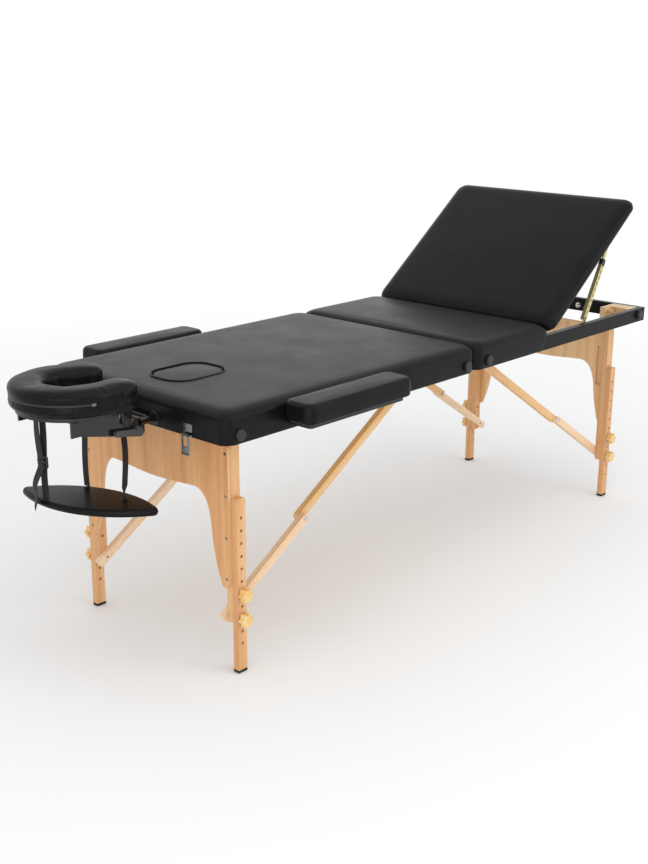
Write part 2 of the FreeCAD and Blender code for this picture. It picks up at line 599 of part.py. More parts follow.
class Bed:
    """Decks, cushions and frame fittings of both halves."""

    def head_deck(self):
        """Deck of the head half with its breath opening."""
        deck = box(-HALF_LENGTH, -MID_GAP, -HALF_WIDTH + 2, HALF_WIDTH - 2, RAIL_TOP, DECK_TOP)
        deck = round_edges(deck, BED_CORNER, upright)
        return deck.cut(oval(-BREATH_LEDGE, RAIL_TOP - 1, DECK_TOP + 1))

    def head_cushion(self):
        """Cushion of the head half with the opening for the face."""
        end = round_end(EDGE_REACH, EDGE_ROUND)
        pad = cushion(-HALF_LENGTH, -MID_GAP, end, end)
        return pad.cut(oval(0.0, DECK_TOP - 1, BED_TOP + 20))

    def plug(self):
        """Padded plug that fills the breath opening, resting on the deck's ledge."""
        block = oval(-PLUG_GAP, DECK_TOP, BED_TOP + 3.0)
        return block.makeFillet(7.0, [e for e in block.Edges if edge_mid(e).z > BED_TOP])

    def foot_deck(self):
        """Deck under the fixed middle cushion, with pockets for the hinge leaves."""
        end = BACK_HINGE_X - BACK_GAP
        deck = box(MID_GAP, end, -HALF_WIDTH + 2, HALF_WIDTH - 2, RAIL_TOP, DECK_TOP)
        deck = round_edges(deck, BED_CORNER, upright)
        for y in (-HINGE_Y, HINGE_Y):
            deck = deck.cut(box(end - 40, end + 1, y - 37, y + 37, DECK_TOP - LEAF_THICK, DECK_TOP + 1))
        return deck

    def middle_cushion(self):
        """Fixed cushion between the centre fold and the backrest."""
        end = bevelled_end(14.0, BACK_TILT / 2.0)
        return cushion(MID_GAP, BACK_HINGE_X - BACK_GAP - 2.0, round_end(EDGE_REACH, EDGE_ROUND), end)

    def batten(self):
        """Cross batten glued under the end of the fixed deck."""
        half = HINGE_Y + 10.0
        return box(BACK_HINGE_X - 44, BACK_HINGE_X - 14, -half, half, RAIL_TOP - 26, RAIL_TOP)

    def back_board(self):
        """Board of the backrest, lying flat."""
        x0 = BACK_HINGE_X + BACK_GAP
        board = box(x0, HALF_LENGTH - 1, -HALF_WIDTH + 4, HALF_WIDTH - 4, RAIL_TOP + 0.3, DECK_TOP)
        board = round_edges(board, BED_CORNER, upright)
        for y in (-HINGE_Y, HINGE_Y):
            board = board.cut(box(x0 - 1, x0 + 40, y - 37, y + 37, DECK_TOP - LEAF_THICK, DECK_TOP + 1))
        return board

    def back_cushion(self):
        """Cushion of the backrest, lying flat."""
        return cushion(BACK_HINGE_X + BACK_GAP + 2.0, HALF_LENGTH, bevelled_end(14.0, BACK_TILT / 2.0),
                       round_end(EDGE_REACH, EDGE_ROUND))

    def back_hinges(self):
        """Fixed and moving leaves of the backrest hinges, lying flat."""
        fixed, moving = [], []
        r, pin = 3.0, 1.5
        x, z = BACK_HINGE_X, BACK_AXIS_Z
        third = 24.0
        for y in (-HINGE_Y, HINGE_Y):
            low, high = y - 1.5 * third, y + 1.5 * third
            leaf = box(x - BACK_GAP - 38, x - r - 0.4, low, high, DECK_TOP - LEAF_THICK, DECK_TOP)
            for y0 in (low, high - third):
                barrel = knuckle(x, z, y0, y0 + third - 0.3, r, pin)
                strip = box(x - r - 0.5, x - pin, y0, y0 + third - 0.3, z - 0.9, z + 0.9)
                leaf = leaf.fuse(barrel).fuse(strip.cut(rod((x, low, z), (x, high, z), pin)))
            fixed.append(leaf.fuse(rod((x, low, z), (x, high, z), pin)).removeSplitter())
            leaf = box(x + r + 0.4, x + BACK_GAP + 38, low, high, DECK_TOP - LEAF_THICK, DECK_TOP)
            y0, y1 = y - third / 2.0, y + third / 2.0 - 0.3
            strip = box(x + pin, x + r + 0.5, y0, y1, z - 0.9, z + 0.9)
            leaf = leaf.fuse(knuckle(x, z, y0, y1, r, pin)).fuse(strip)
            moving.append(leaf.cut(rod((x, low, z), (x, high, z), pin + PIN_CLEAR)).removeSplitter())
        return fixed, moving

    def centre_hinges(self):
        """Head leaves, pins and foot leaves of the centre fold."""
        heads, pins, feet = [], [], []
        part = HINGE_WIDTH / 3.0
        r = KNUCKLE_R - 0.3
        for y in (-HINGE_Y, HINGE_Y):
            low, high = y - HINGE_WIDTH / 2.0, y + HINGE_WIDTH / 2.0
            leaf = box(-RAIL_THICK, -r + 0.6, low, high, RAIL_BOTTOM - LEAF_THICK, RAIL_BOTTOM)
            for y0 in (low, high - part):
                leaf = leaf.fuse(knuckle(0, FOLD_Z, y0, y0 + part - 0.3, r, HINGE_PIN_R))
                leaf = leaf.fuse(box(-r, -HINGE_PIN_R, y0, y0 + part - 0.3, FOLD_Z, RAIL_BOTTOM - 0.4))
            leaf = leaf.cut(box(-r + 0.5, r, low - 1, high + 1, RAIL_BOTTOM - 0.3, RAIL_BOTTOM + 1))
            leaf = leaf.cut(box(-r - 0.4, r, low + part - 0.3, high - part, FOLD_Z - r, RAIL_BOTTOM + 1))
            heads.append(leaf.cut(rod((0, low, FOLD_Z), (0, high, FOLD_Z), HINGE_PIN_R + PIN_CLEAR)))
            pins.append(rod((0, low - 1, FOLD_Z), (0, high + 1, FOLD_Z), HINGE_PIN_R))
            leaf = box(r - 0.6, RAIL_THICK, low, high, RAIL_BOTTOM - LEAF_THICK, RAIL_BOTTOM)
            y0, y1 = low + part, high - part - 0.3
            leaf = leaf.fuse(knuckle(0, FOLD_Z, y0, y1, r, HINGE_PIN_R))
            leaf = leaf.fuse(box(HINGE_PIN_R, r, y0, y1, FOLD_Z, RAIL_BOTTOM - 0.4))
            leaf = leaf.cut(box(-r, r - 0.5, low - 1, high + 1, RAIL_BOTTOM - 0.3, RAIL_BOTTOM + 1))
            for a, b in ((low - 1, low + part), (high - part - 0.3, high + 1)):
                leaf = leaf.cut(box(-r, r + 0.4, a, b, FOLD_Z - r, RAIL_BOTTOM + 1))
            feet.append(leaf.cut(rod((0, low, FOLD_Z), (0, high, FOLD_Z), HINGE_PIN_R + PIN_CLEAR)))
        return heads, pins, feet


def raise_back(shape):
    """Lift a piece of the backrest from flat to its rest position."""
    return turned(shape, BACK_HINGE_X, BACK_AXIS_Z, BACK_TILT)


class Stay:
    """Ratchet stay that props the backrest, near side."""

    def ends(self):
        """Rail pivot, panel pivot at rest and the angle and length between them."""
        t = math.radians(BACK_TILT)
        px = BACK_HINGE_X + STAY_PANEL_S * math.cos(t) + STAY_PANEL_DROP * math.sin(t)
        pz = BACK_AXIS_Z + STAY_PANEL_S * math.sin(t) - STAY_PANEL_DROP * math.cos(t)
        dx, dz = px - STAY_RAIL_X, pz - STAY_RAIL_Z
        return px, pz, math.degrees(math.atan2(dz, dx)), math.hypot(dx, dz)

    def place(self, shape):
        """Move a stay piece drawn along +X to the rail pivot at its rest angle."""
        out = turned(shape, 0, 0, self.ends()[2])
        out.translate(V(STAY_RAIL_X, 0, STAY_RAIL_Z))
        return out

    def channel(self):
        """Slotted channel on the rail pivot."""
        y = STAY_Y
        h, w = STAY_DEPTH / 2.0, STAY_WIDTH / 2.0
        wi, hi = w - STAY_WALL, h - STAY_WALL - 0.1
        bar = box(-h, STAY_CHANNEL, -y - w, -y + w, -h, h)
        bar = bar.cut(box(14, STAY_CHANNEL + 1, -y - wi, -y + wi, -hi, hi))
        bar = bar.cut(box(-h - 1, 13, -y - wi, -y + w + 1, -h - 1, h + 1))
        for i in range(STAY_SLOTS):
            x = STAY_CHANNEL - 7.0 - STAY_SLOT_PITCH * (i + 1)
            bar = bar.cut(box(x, x + 11, -y + wi - 0.5, -y + w + 1, -2, 2))
            bar = bar.cut(box(x, x + 11, -y - w - 1, -y - wi + 0.5, -2, 2))
        bar = round_edges(bar, 6.0, lambda e: across(e) and edge_mid(e).x < -h + 0.1)
        return self.place(bar.cut(rod((0, -y - w - 1, 0), (0, -y + w + 1, 0), 2.0 + PIN_CLEAR)))

    def slider(self):
        """Bar that slides in the channel and meets the panel bracket."""
        y = STAY_Y
        length = self.ends()[3]
        bar = box(length - STAY_BAR, length + 8, -y - 2, -y + 2, -6, 6)
        bar = round_edges(bar, 5.5, lambda e: across(e) and edge_mid(e).x > length)
        rivet = rod((length, -y - 2, 0), (length, -y - 4, 0), 4.0)
        return self.place(bar.fuse(rivet).removeSplitter())

    def rail_bracket(self):
        """Plate on the side rail with the stay's lower pivot stud."""
        x, y, z = STAY_RAIL_X, STAY_Y, STAY_RAIL_Z
        face = -RAIL_INNER + 2.5
        base = box(x - 18, x + 18, -RAIL_INNER, face, RAIL_TOP - 30, RAIL_TOP - 1)
        stud = rod((x, face, z), (x, -y - 4.6, z), 2.0)
        collar = rod((x, face, z), (x, -y - 6.4, z), 4.0)
        return base.fuse(stud).fuse(collar).removeSplitter()

    def panel_bracket(self):
        """Angle under the backrest board beside the stay's upper end, lying flat."""
        x = BACK_HINGE_X + STAY_PANEL_S
        z = BACK_AXIS_Z - STAY_PANEL_DROP
        y = -STAY_Y + 2.4
        base = box(x - 16, x + 16, y, y + 18, RAIL_TOP + 0.3 - 2.0, RAIL_TOP + 0.3)
        lug = box(x - 10, x + 10, y, y + 2.2, z - 8, RAIL_TOP)
        lug = round_edges(lug, 7.0, lambda e: across(e) and edge_mid(e).z < z)
        return base.fuse(lug).removeSplitter()


class Headrest:
    """Horseshoe headrest on two rods, with its arm shelf."""

    def outline(self, inset, z):
        """Horseshoe outline open toward the table, its arms toed in a little."""
        toe = math.radians(PAD_TOE)
        along, off = V(math.cos(toe), -math.sin(toe), 0), V(math.sin(toe), math.cos(toe), 0)
        out = PAD_HALF - inset
        inn = PAD_HALF - PAD_BAND + inset
        tip, mid = 0.5 * (out - inn), 0.5 * (out + inn)
        centre = V(PAD_ARC_X, 0, z)
        straight = (PAD_TIP_X - inset - tip - PAD_ARC_X - mid * off.x) / along.x
        end = centre + off * mid + along * straight
        arm = [centre + off * out, end + off * tip, end + along * tip, end - off * tip, centre + off * inn]
        far = [
            Part.makeLine(arm[0], arm[1]),
            Part.Arc(arm[1], arm[2], arm[3]).toShape(),
            Part.makeLine(arm[3], arm[4]),
        ]
        near = [edge.mirror(V(0, 0, 0), V(0, 1, 0)) for edge in far]
        start, stop = (V(arm[i].x, -arm[i].y, z) for i in (0, 4))
        bow = [
            Part.Arc(arm[0], centre - V(out, 0, 0), start).toShape(),
            Part.Arc(arm[4], centre - V(inn, 0, 0), stop).toShape(),
        ]
        return Part.Face(Part.Wire(Part.__sortEdges__(far + near + bow)))

    def pad(self):
        """Soft horseshoe cushion, set down a little turned on its board."""
        body = self.outline(0.0, PAD_BOTTOM).extrude(V(0, 0, PAD_THICK))
        top = PAD_BOTTOM + PAD_THICK
        body = round_edges(body, 22.0, lambda e: edge_mid(e).z > top - 0.01)
        body = round_edges(body, 12.0, lambda e: edge_mid(e).z < PAD_BOTTOM + 0.01)
        body.rotate(V(PAD_ARC_X, 0, 0), V(0, 0, 1), -PAD_YAW)
        return body

    def platform(self):
        """Board under the cushion."""
        z = PAD_BOTTOM - PLATE_THICK
        return self.outline(PLATE_INSET, z).extrude(V(0, 0, PLATE_THICK - 0.3))

    def bracket(self):
        """Two rods tied by a cross tube, with a tang at each outer end."""
        x_in = -HALF_LENGTH + ROD_INSERT
        out = []
        x_tie = -(HALF_LENGTH + TIE_REACH)
        tie = rod((x_tie, -ROD_Y, ROD_Z), (x_tie, ROD_Y, ROD_Z), TIE_R)
        frame = tie
        for y in (-ROD_Y, ROD_Y):
            frame = frame.fuse(rod((x_in, y, ROD_Z), (TILT_X + 17, y, ROD_Z), ROD_R))
            t = TANG_THICK / 2.0
            tang = box(TILT_X - TANG_HALF, TILT_X + 30, y - t, y + t, TILT_Z - TANG_HALF, ROD_Z + 8)
            tang = round_edges(tang, TANG_HALF - 1.0, lambda e: across(e) and edge_mid(e).x < TILT_X)
            frame = frame.fuse(tang)
        y = ROD_Y + 28.0
        frame = frame.cut(rod((TILT_X, -y, TILT_Z), (TILT_X, y, TILT_Z), TILT_BOLT_R + PIN_CLEAR))
        out.append(frame.removeSplitter())
        return out

    def arms(self):
        """Two side arms on the tilt bolts, rising outward to the board."""
        out = []
        h, t = HEAD_ARM_HALF, HEAD_ARM_THICK / 2.0
        top = PAD_BOTTOM - PLATE_THICK
        for side in (-1, 1):
            y0 = side * (ROD_Y + TANG_THICK / 2.0 + t + 2 * FACE_GAP)
            arm = box(-HEAD_ARM_LENGTH, h, y0 - t, y0 + t, -h, h)
            arm = round_edges(arm, h - 2.0, across)
            arm = turned(arm, 0, 0, -ARM_RISE)
            arm.translate(V(TILT_X, 0, TILT_Z))
            end = TILT_X - HEAD_ARM_LENGTH - 8.0
            post = box(end, end + POST_LENGTH, y0 - t, y0 + t, TILT_Z + POST_RISE, top)
            foot = box(end, end + POST_LENGTH, y0 - 4 * t, y0 + 4 * t, top - 3, top)
            near = box(TILT_X - 34, TILT_X - 10, y0 - t, y0 + t, TILT_Z + 8, top)
            bolt = rod((TILT_X, y0 + side * t, TILT_Z), (TILT_X, side * (ROD_Y - 5.0), TILT_Z), TILT_BOLT_R)
            arm = arm.fuse(post).fuse(foot).fuse(near).fuse(bolt)
            out.append(arm.removeSplitter())
        return out

    def lever(self):
        """Cam lever on the near tilt bolt."""
        y0 = -ROD_Y - TANG_THICK / 2.0 - HEAD_ARM_THICK - 3 * FACE_GAP
        hub = rod((0, y0, 0), (0, y0 - 14, 0), 11.0)
        grip = box(-LEVER_LENGTH, 0, y0 - 13, y0 - 3, -8, 6)
        grip = round_edges(grip, 4.0, lambda e: across(e) and edge_mid(e).x < -0.9 * LEVER_LENGTH)
        handle = turned(hub.fuse(grip).removeSplitter(), 0, 0, -ARM_RISE + 5.0)
        handle.translate(V(TILT_X, 0, TILT_Z))
        return handle

    def shelf(self):
        """Lens-shaped padded arm shelf, hanging a little askew."""
        a, b = SHELF_HALF, SHELF_HALF_WIDTH
        z = SHELF_TOP - SHELF_THICK
        front = Part.Arc(V(0, a, z), V(-b, 0, z), V(0, -a, z)).toShape()
        back = Part.Arc(V(0, -a, z), V(b, 0, z), V(0, a, z)).toShape()
        pad = Part.Face(Part.Wire([front, back])).extrude(V(0, 0, SHELF_THICK))
        pad = round_edges(pad, 12.0, upright)
        pad = round_edges(pad, 7.0, lambda e: edge_mid(e).z > SHELF_TOP - 0.01)
        pad = round_edges(pad, 6.0, lambda e: edge_mid(e).z < z + 0.01)
        pad.rotate(V(0, 0, 0), V(0, 0, 1), SHELF_YAW)
        pad.translate(V(SHELF_X, SHELF_Y, 0))
        return pad

    def strap(self, x, y, width):
        """Webbing from the board down to the shelf."""
        z1 = PAD_BOTTOM - PLATE_THICK - 0.9
        t = STRAP_THICK / 2.0
        return box(x - t, x + t, y - width / 2.0, y + width / 2.0, SHELF_TOP + STRAP_GAP, z1)

    def front_strap(self):
        """Strap at the outer end of the board."""
        return self.strap(PAD_ARC_X - FRONT_STRAP_OUT, FRONT_STRAP_Y, FRONT_STRAP_WIDTH)

    def back_straps(self):
        """Pair of wide straps under the board's two arms."""
        return [self.strap(BACK_STRAP_X, s * BACK_STRAP_Y, BACK_STRAP_WIDTH) for s in (-1, 1)]


class Fittings:
    """Sockets, bumpers, latches and the side arm supports."""

    def rod_bore(self, r):
        """Bores of the headrest rods through the head end rail."""
        x0, x1 = -HALF_LENGTH - 5, -END_INNER + 1.5 * SOCKET_PAST
        return [rod((x0, y, ROD_Z), (x1, y, ROD_Z), r) for y in (-ROD_Y, ROD_Y)]

    def pin_axes(self):
        """X positions of the arm support pins."""
        return ARM_X0 + ARM_PIN_INSET, ARM_X1 - ARM_PIN_INSET

    def sockets(self):
        """Bushings for the headrest rods and for the arm support pins."""
        out = []
        for y in (-ROD_Y, ROD_Y):
            tube = rod((-HALF_LENGTH, y, ROD_Z), (-END_INNER + SOCKET_PAST, y, ROD_Z), 13.0)
            tube = tube.fuse(rod((-HALF_LENGTH - 3, y, ROD_Z), (-HALF_LENGTH, y, ROD_Z), 17.0))
            bore = rod((-HALF_LENGTH - 5, y, ROD_Z), (-END_INNER + SOCKET_PAST + 1, y, ROD_Z), ROD_R + 0.05)
            out.append(tube.cut(bore))
        z = ARM_BOARD_Z + ARM_BOARD_THICK / 2.0
        for x in self.pin_axes():
            tube = rod((x, -HALF_WIDTH, z), (x, -RAIL_INNER, z), 9.0)
            flange = rod((x, -HALF_WIDTH - 1.2, z), (x, -HALF_WIDTH, z), 12.0)
            tube = tube.fuse(flange)
            out += pair(tube.cut(rod((x, -HALF_WIDTH - 5, z), (x, -RAIL_INNER + 1, z), ARM_PIN_R + 0.05)))
        return [s.removeSplitter() for s in out]

    def rail_bores(self):
        """Bores in the head half's rails for all bushings."""
        z = ARM_BOARD_Z + ARM_BOARD_THICK / 2.0
        out = self.rod_bore(13.0)
        for x in self.pin_axes():
            out += pair(rod((x, -HALF_WIDTH - 5, z), (x, -RAIL_INNER + 1, z), 9.0))
        return out

    def bumpers(self, places):
        """Round feet on which the folded case stands."""
        out = []
        for x in places:
            foot = rod((x, -HALF_WIDTH, BUMPER_Z), (x, -HALF_WIDTH - BUMPER_THICK, BUMPER_Z), BUMPER_R)
            out.append(round_edges(foot, 5.0, lambda e: edge_mid(e).y < -HALF_WIDTH - BUMPER_THICK + 0.01))
        return out

    def latch_plates(self):
        """Latch plates on the head end rail, each with a pivot barrel."""
        out = []
        x, z = -HALF_LENGTH, LATCH_PIVOT_Z
        pin = x - LATCH_STAND
        half = LATCH_WIDTH / 2.0
        for y in (-LATCH_Y, LATCH_Y):
            base = box(x - 1.6, x, y - half, y + half, z - 4.5, z + 25)
            lug = box(pin, x, y - 5, y + 5, z - 2.5, z + 2.5)
            lug = lug.fuse(rod((pin, y - 5, z), (pin, y + 5, z), 3.0))
            mount = base.fuse(lug).fuse(rod((pin, y - 11, z), (pin, y + 11, z), 1.4))
            out.append(mount.removeSplitter())
        return out

    def latch_hasps(self):
        """Hanging latch loops, each an open plate with a curled end."""
        out = []
        x = -HALF_LENGTH - LATCH_STAND
        z = LATCH_PIVOT_Z
        low = z - LATCH_REACH
        half = LATCH_WIDTH / 2.0 - 3.0
        for y in (-LATCH_Y, LATCH_Y):
            loop = box(x - 1.2, x + 1.2, y - half, y + half, low, z - 2.0)
            loop = loop.cut(box(x - 2, x + 2, y - 7, y + 7, low + 18, z - 1.0))
            for side in (-1, 1):
                y0, y1 = sorted((y + side * 5.4, y + side * (half - 0.2)))
                loop = loop.fuse(rod((x, y0, z), (x, y1, z), 3.0))
            loop = loop.cut(box(x - 4, x + 4, y - 5.3, y + 5.3, z - 8, z + 4))
            loop = loop.fuse(rod((x - 1.6, y - half, low), (x - 1.6, y + half, low), 2.6))
            out.append(loop.cut(rod((x, y - 20, z), (x, y + 20, z), 1.4 + PIN_CLEAR)).removeSplitter())
        return out

    def latch_catches(self):
        """Strike plates with a low lip on the foot end rail."""
        out = []
        x = HALF_LENGTH
        half = LATCH_WIDTH / 2.0
        for y in (-LATCH_Y, LATCH_Y):
            base = box(x, x + 1.6, y - half, y + half, RAIL_BOTTOM + CATCH_LOW, RAIL_BOTTOM + CATCH_HIGH)
            lip = box(x, x + LEAF_THICK + 2.0, y - 6, y + 6, RAIL_BOTTOM + 10, RAIL_BOTTOM + 15)
            out.append(base.fuse(lip).removeSplitter())
        return out

    def arm_pad(self):
        """Near arm support cushion."""
        z0 = ARM_BOARD_Z + ARM_BOARD_THICK + 0.3
        return soft_block(ARM_X0, ARM_X1, -ARM_OUTER, -ARM_INNER, z0, ARM_TOP, 24.0, 18.0, 8.0)

    def arm_board(self):
        """Near arm support board with its two plug-in pins."""
        z0 = ARM_BOARD_Z
        z1 = z0 + ARM_BOARD_THICK
        z = 0.5 * (z0 + z1)
        board = box(ARM_X0 + 18, ARM_X1 - 18, -ARM_OUTER + ARM_BOARD_INSET, -ARM_INNER - ARM_GAP, z0, z1)
        board = round_edges(board, 8.0, upright)
        out = board
        root = -ARM_INNER - ARM_WIDTH / 2.0
        for x in self.pin_axes():
            out = out.fuse(rod((x, root, z), (x, -ARM_PIN_END, z), ARM_PIN_R - SLIDE_GAP))
        return out.removeSplitter()


def build():
    """All named nodes in the rest position."""
    frame, legs, bed = Frame(), Legs(), Bed()
    stay, headrest, fit = Stay(), Headrest(), Fittings()
    nodes = {}
    nodes["head_rails"] = group(frame.rails(fit.rail_bores(), (-HALF_LENGTH, -MID_GAP)))
    nodes["head_deck"] = bed.head_deck()
    nodes["head_cushion"] = bed.head_cushion()
    nodes["head_frame_blocks"] = group(frame.blocks())
    nodes["head_bumpers"] = group(fit.bumpers(HEAD_BUMPERS))
    nodes["accessory_sockets"] = group(fit.sockets())
    nodes["latch_plates"] = group(fit.latch_plates())
    nodes["latch_hasps"] = group(fit.latch_hasps())
    heads, pins, feet = bed.centre_hinges()
    nodes["centre_hinge_head_leaves"] = group(heads)
    nodes["centre_hinge_pins"] = group(pins)
    nodes["centre_hinge_foot_leaves"] = group(feet)
    nodes["foot_rails"] = group([flip_x(s) for s in frame.rails([], (-MID_GAP,))] + [bed.batten()])
    nodes["foot_deck"] = bed.foot_deck()
    nodes["middle_cushion"] = bed.middle_cushion()
    nodes["foot_frame_blocks"] = group([flip_x(s) for s in frame.blocks()])
    nodes["foot_bumpers"] = group(fit.bumpers(FOOT_BUMPERS))
    nodes["latch_catches"] = group(fit.latch_catches())
    fixed, moving = bed.back_hinges()
    nodes["backrest_hinge_fixed_leaves"] = group(fixed)
    nodes["backrest_hinge_moving_leaves"] = group([raise_back(s) for s in moving])
    nodes["backrest_board"] = raise_back(bed.back_board())
    nodes["backrest_cushion"] = raise_back(bed.back_cushion())
    nodes["stay_panel_brackets"] = group([raise_back(s) for s in pair(stay.panel_bracket())])
    nodes["stay_rail_brackets"] = group(pair(stay.rail_bracket()))
    nodes["stay_channels"] = group(pair(stay.channel()))
    nodes["stay_sliders"] = group(pair(stay.slider()))
    low, high = legs.braces()
    knobs = [group(pair(legs.knob(z))) for z in legs.knob_heights()]
    near, far = pair(legs.lower())
    cap_near, cap_far = pair(legs.cap())
    leg_nodes = {
        "upper_legs": group(pair(legs.upper())),
        "apron": legs.apron(),
        "leg_fasteners": group(legs.fasteners()),
        "lower_leg_near": near,
        "lower_leg_far": far,
        "foot_cap_near": cap_near,
        "foot_cap_far": cap_far,
        "upper_knobs": knobs[0],
        "lower_knobs": knobs[1],
        "lower_braces": group(low),
        "upper_braces": group(high),
    }
    for name, shape in leg_nodes.items():
        nodes["head_" + name] = shape
        nodes["foot_" + name] = flip_x(shape)
    nodes["headrest_bracket"] = group(headrest.bracket())
    nodes["headrest_arms"] = group(headrest.arms())
    nodes["headrest_platform"] = headrest.platform()
    nodes["headrest_pad"] = headrest.pad()
    nodes["headrest_lever"] = headrest.lever()
    nodes["arm_shelf"] = headrest.shelf()
    nodes["sling_front_strap"] = headrest.front_strap()
    nodes["sling_back_straps"] = group(headrest.back_straps())
    pads, boards = pair(fit.arm_pad()), pair(fit.arm_board())
    for i, side in enumerate(("near", "far")):
        nodes["armrest_pad_" + side] = pads[i]
        nodes["armrest_board_" + side] = boards[i]
    nodes["breath_plug"] = bed.plug()
    return nodes


def main():
    """Write every node as a STEP file in the shared frame."""
    os.makedirs("parts", exist_ok=True)
    for name, shape in build().items():
        shape.translate(SHIFT)
        shape.exportStep("parts/%s.step" % name)


main()
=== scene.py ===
"""Looks of a folding treatment table: upholstery, webbing, small fittings, finishes and studio.

Lengths are in millimetres in the drawing frame, whose X zero is at the centre fold. Each surface is
moved into the shared frame, in metres, when its mesh is made.
"""
from __future__ import annotations

import json
import logging
import math
from collections.abc import Callable
from dataclasses import dataclass
from enum import Enum

import bmesh
import bpy
import numpy as np
from mathutils import Matrix

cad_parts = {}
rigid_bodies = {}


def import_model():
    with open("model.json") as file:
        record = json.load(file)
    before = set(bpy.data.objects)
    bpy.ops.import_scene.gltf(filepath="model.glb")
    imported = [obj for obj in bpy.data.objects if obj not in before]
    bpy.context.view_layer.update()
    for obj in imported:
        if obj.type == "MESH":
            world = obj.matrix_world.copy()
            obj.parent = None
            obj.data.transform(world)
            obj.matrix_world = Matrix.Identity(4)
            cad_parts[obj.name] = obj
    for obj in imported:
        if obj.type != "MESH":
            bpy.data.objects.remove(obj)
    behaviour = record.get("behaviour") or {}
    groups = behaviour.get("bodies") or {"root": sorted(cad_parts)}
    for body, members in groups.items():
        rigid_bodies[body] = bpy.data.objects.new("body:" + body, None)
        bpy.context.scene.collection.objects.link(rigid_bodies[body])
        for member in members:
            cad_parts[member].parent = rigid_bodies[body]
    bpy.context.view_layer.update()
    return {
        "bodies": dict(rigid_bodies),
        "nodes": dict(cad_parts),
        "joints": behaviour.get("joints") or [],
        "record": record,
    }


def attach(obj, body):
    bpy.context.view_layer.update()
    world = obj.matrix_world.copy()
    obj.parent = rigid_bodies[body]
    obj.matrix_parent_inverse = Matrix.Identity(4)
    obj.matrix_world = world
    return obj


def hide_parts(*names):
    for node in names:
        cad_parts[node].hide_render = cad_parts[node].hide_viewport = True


LOG = logging.getLogger("table")

# One metre of the shared frame, in the drawing's millimetres.
METRE = 1000.0
# X of the drawing's zero in the shared frame.
SHIFT_X = 149.0
# Scale at which a wave pattern repeats every millimetre.
WAVE_MM = 314.0
# Share of a loop that stays open round a pole before it is fanned shut.
NEAR_POLE = 0.03
# Points on each round corner of an outline.
CORNER_POINTS = 25
# Slow sines that leave a cushion's top uneven: X and Y for one radian, and phase.
TOP_WAVES = ((47.0, 71.0, 0.0), (-90.0, 39.0, 0.0), (29.0, math.inf, -1.3))
X_AXIS, Y_AXIS, Z_AXIS = np.eye(3)


class Ends(Enum):
    """How the first and last loop of a surface are finished."""

    CLOSED = "closed"
    RING = "ring"


class Side(Enum):
    """Side of the table, as the sign of Y."""

    NEAR = -1
    FAR = 1


class TableEnd(Enum):
    """End of the table, as the sign of X."""

    HEAD = -1
    FOOT = 1


def linear(code: str) -> tuple[float, float, float, float]:
    """Turn an sRGB hex colour into linear light.

    Args:
        code: Six hex digits with a leading hash sign.

    Returns:
        Linear red, green, blue and an alpha of one.
    """
    raw = np.array([int(code[i:i + 2], 16) for i in (1, 3, 5)]) / 255.0
    light = np.where(raw <= 0.04045, raw / 12.92, ((raw + 0.055) / 1.055) ** 2.4)
    return (float(light[0]), float(light[1]), float(light[2]), 1.0)


def add(tree: bpy.types.NodeTree, kind: str, inputs: dict | None = None,
        stops: list[tuple[float, str]] | None = None, **settings: object) -> bpy.types.Node:
    """Add one node.

    Args:
        tree: Tree that gets the node.
        kind: Type name of the node.
        inputs: Socket name or number, and a constant or an output socket to join.
        stops: Positions and hex colours of a colour ramp.
        **settings: Plain properties of the node.

    Returns:
        The new node.
    """
    node = tree.nodes.new(kind)
    for key, value in settings.items():
        setattr(node, key, value)
    for key, value in (inputs or {}).items():
        if isinstance(value, bpy.types.NodeSocket):
            tree.links.new(value, node.inputs[key])
        else:
            node.inputs[key].default_value = value
    if stops:
        ramp = node.color_ramp.elements
        while len(ramp) < len(stops):
            ramp.new(0.5)
        for element, (place, code) in zip(ramp, stops):
            element.position = place
            element.color = linear(code)
    return node


@dataclass(frozen=True)
class Finish:
    """A named surface finish.

    Attributes:
        name: Name of the real material.
        slot: Material slot of the part that it belongs to.
    """

    name: str
    slot: str

    def material(self) -> bpy.types.Material:
        """Find the material, or make it on first use.

        Returns:
            The material.
        """
        found = bpy.data.materials.get(self.name)
        if found:
            return found
        made = bpy.data.materials.new(self.name)
        made.use_nodes = True
        tree = made.node_tree
        tree.nodes.clear()
        shader = add(tree, "ShaderNodeBsdfPrincipled")
        add(tree, "ShaderNodeOutputMaterial", {"Surface": shader.outputs[0]})
        self.paint(tree, shader)
        return made

    def paint(self, tree: bpy.types.NodeTree, shader: bpy.types.Node) -> None:
        """Fill in the shader; each kind of finish has its own way.

        Args:
            tree: Tree of the material.
            shader: Shader to fill in.
        """
        raise NotImplementedError


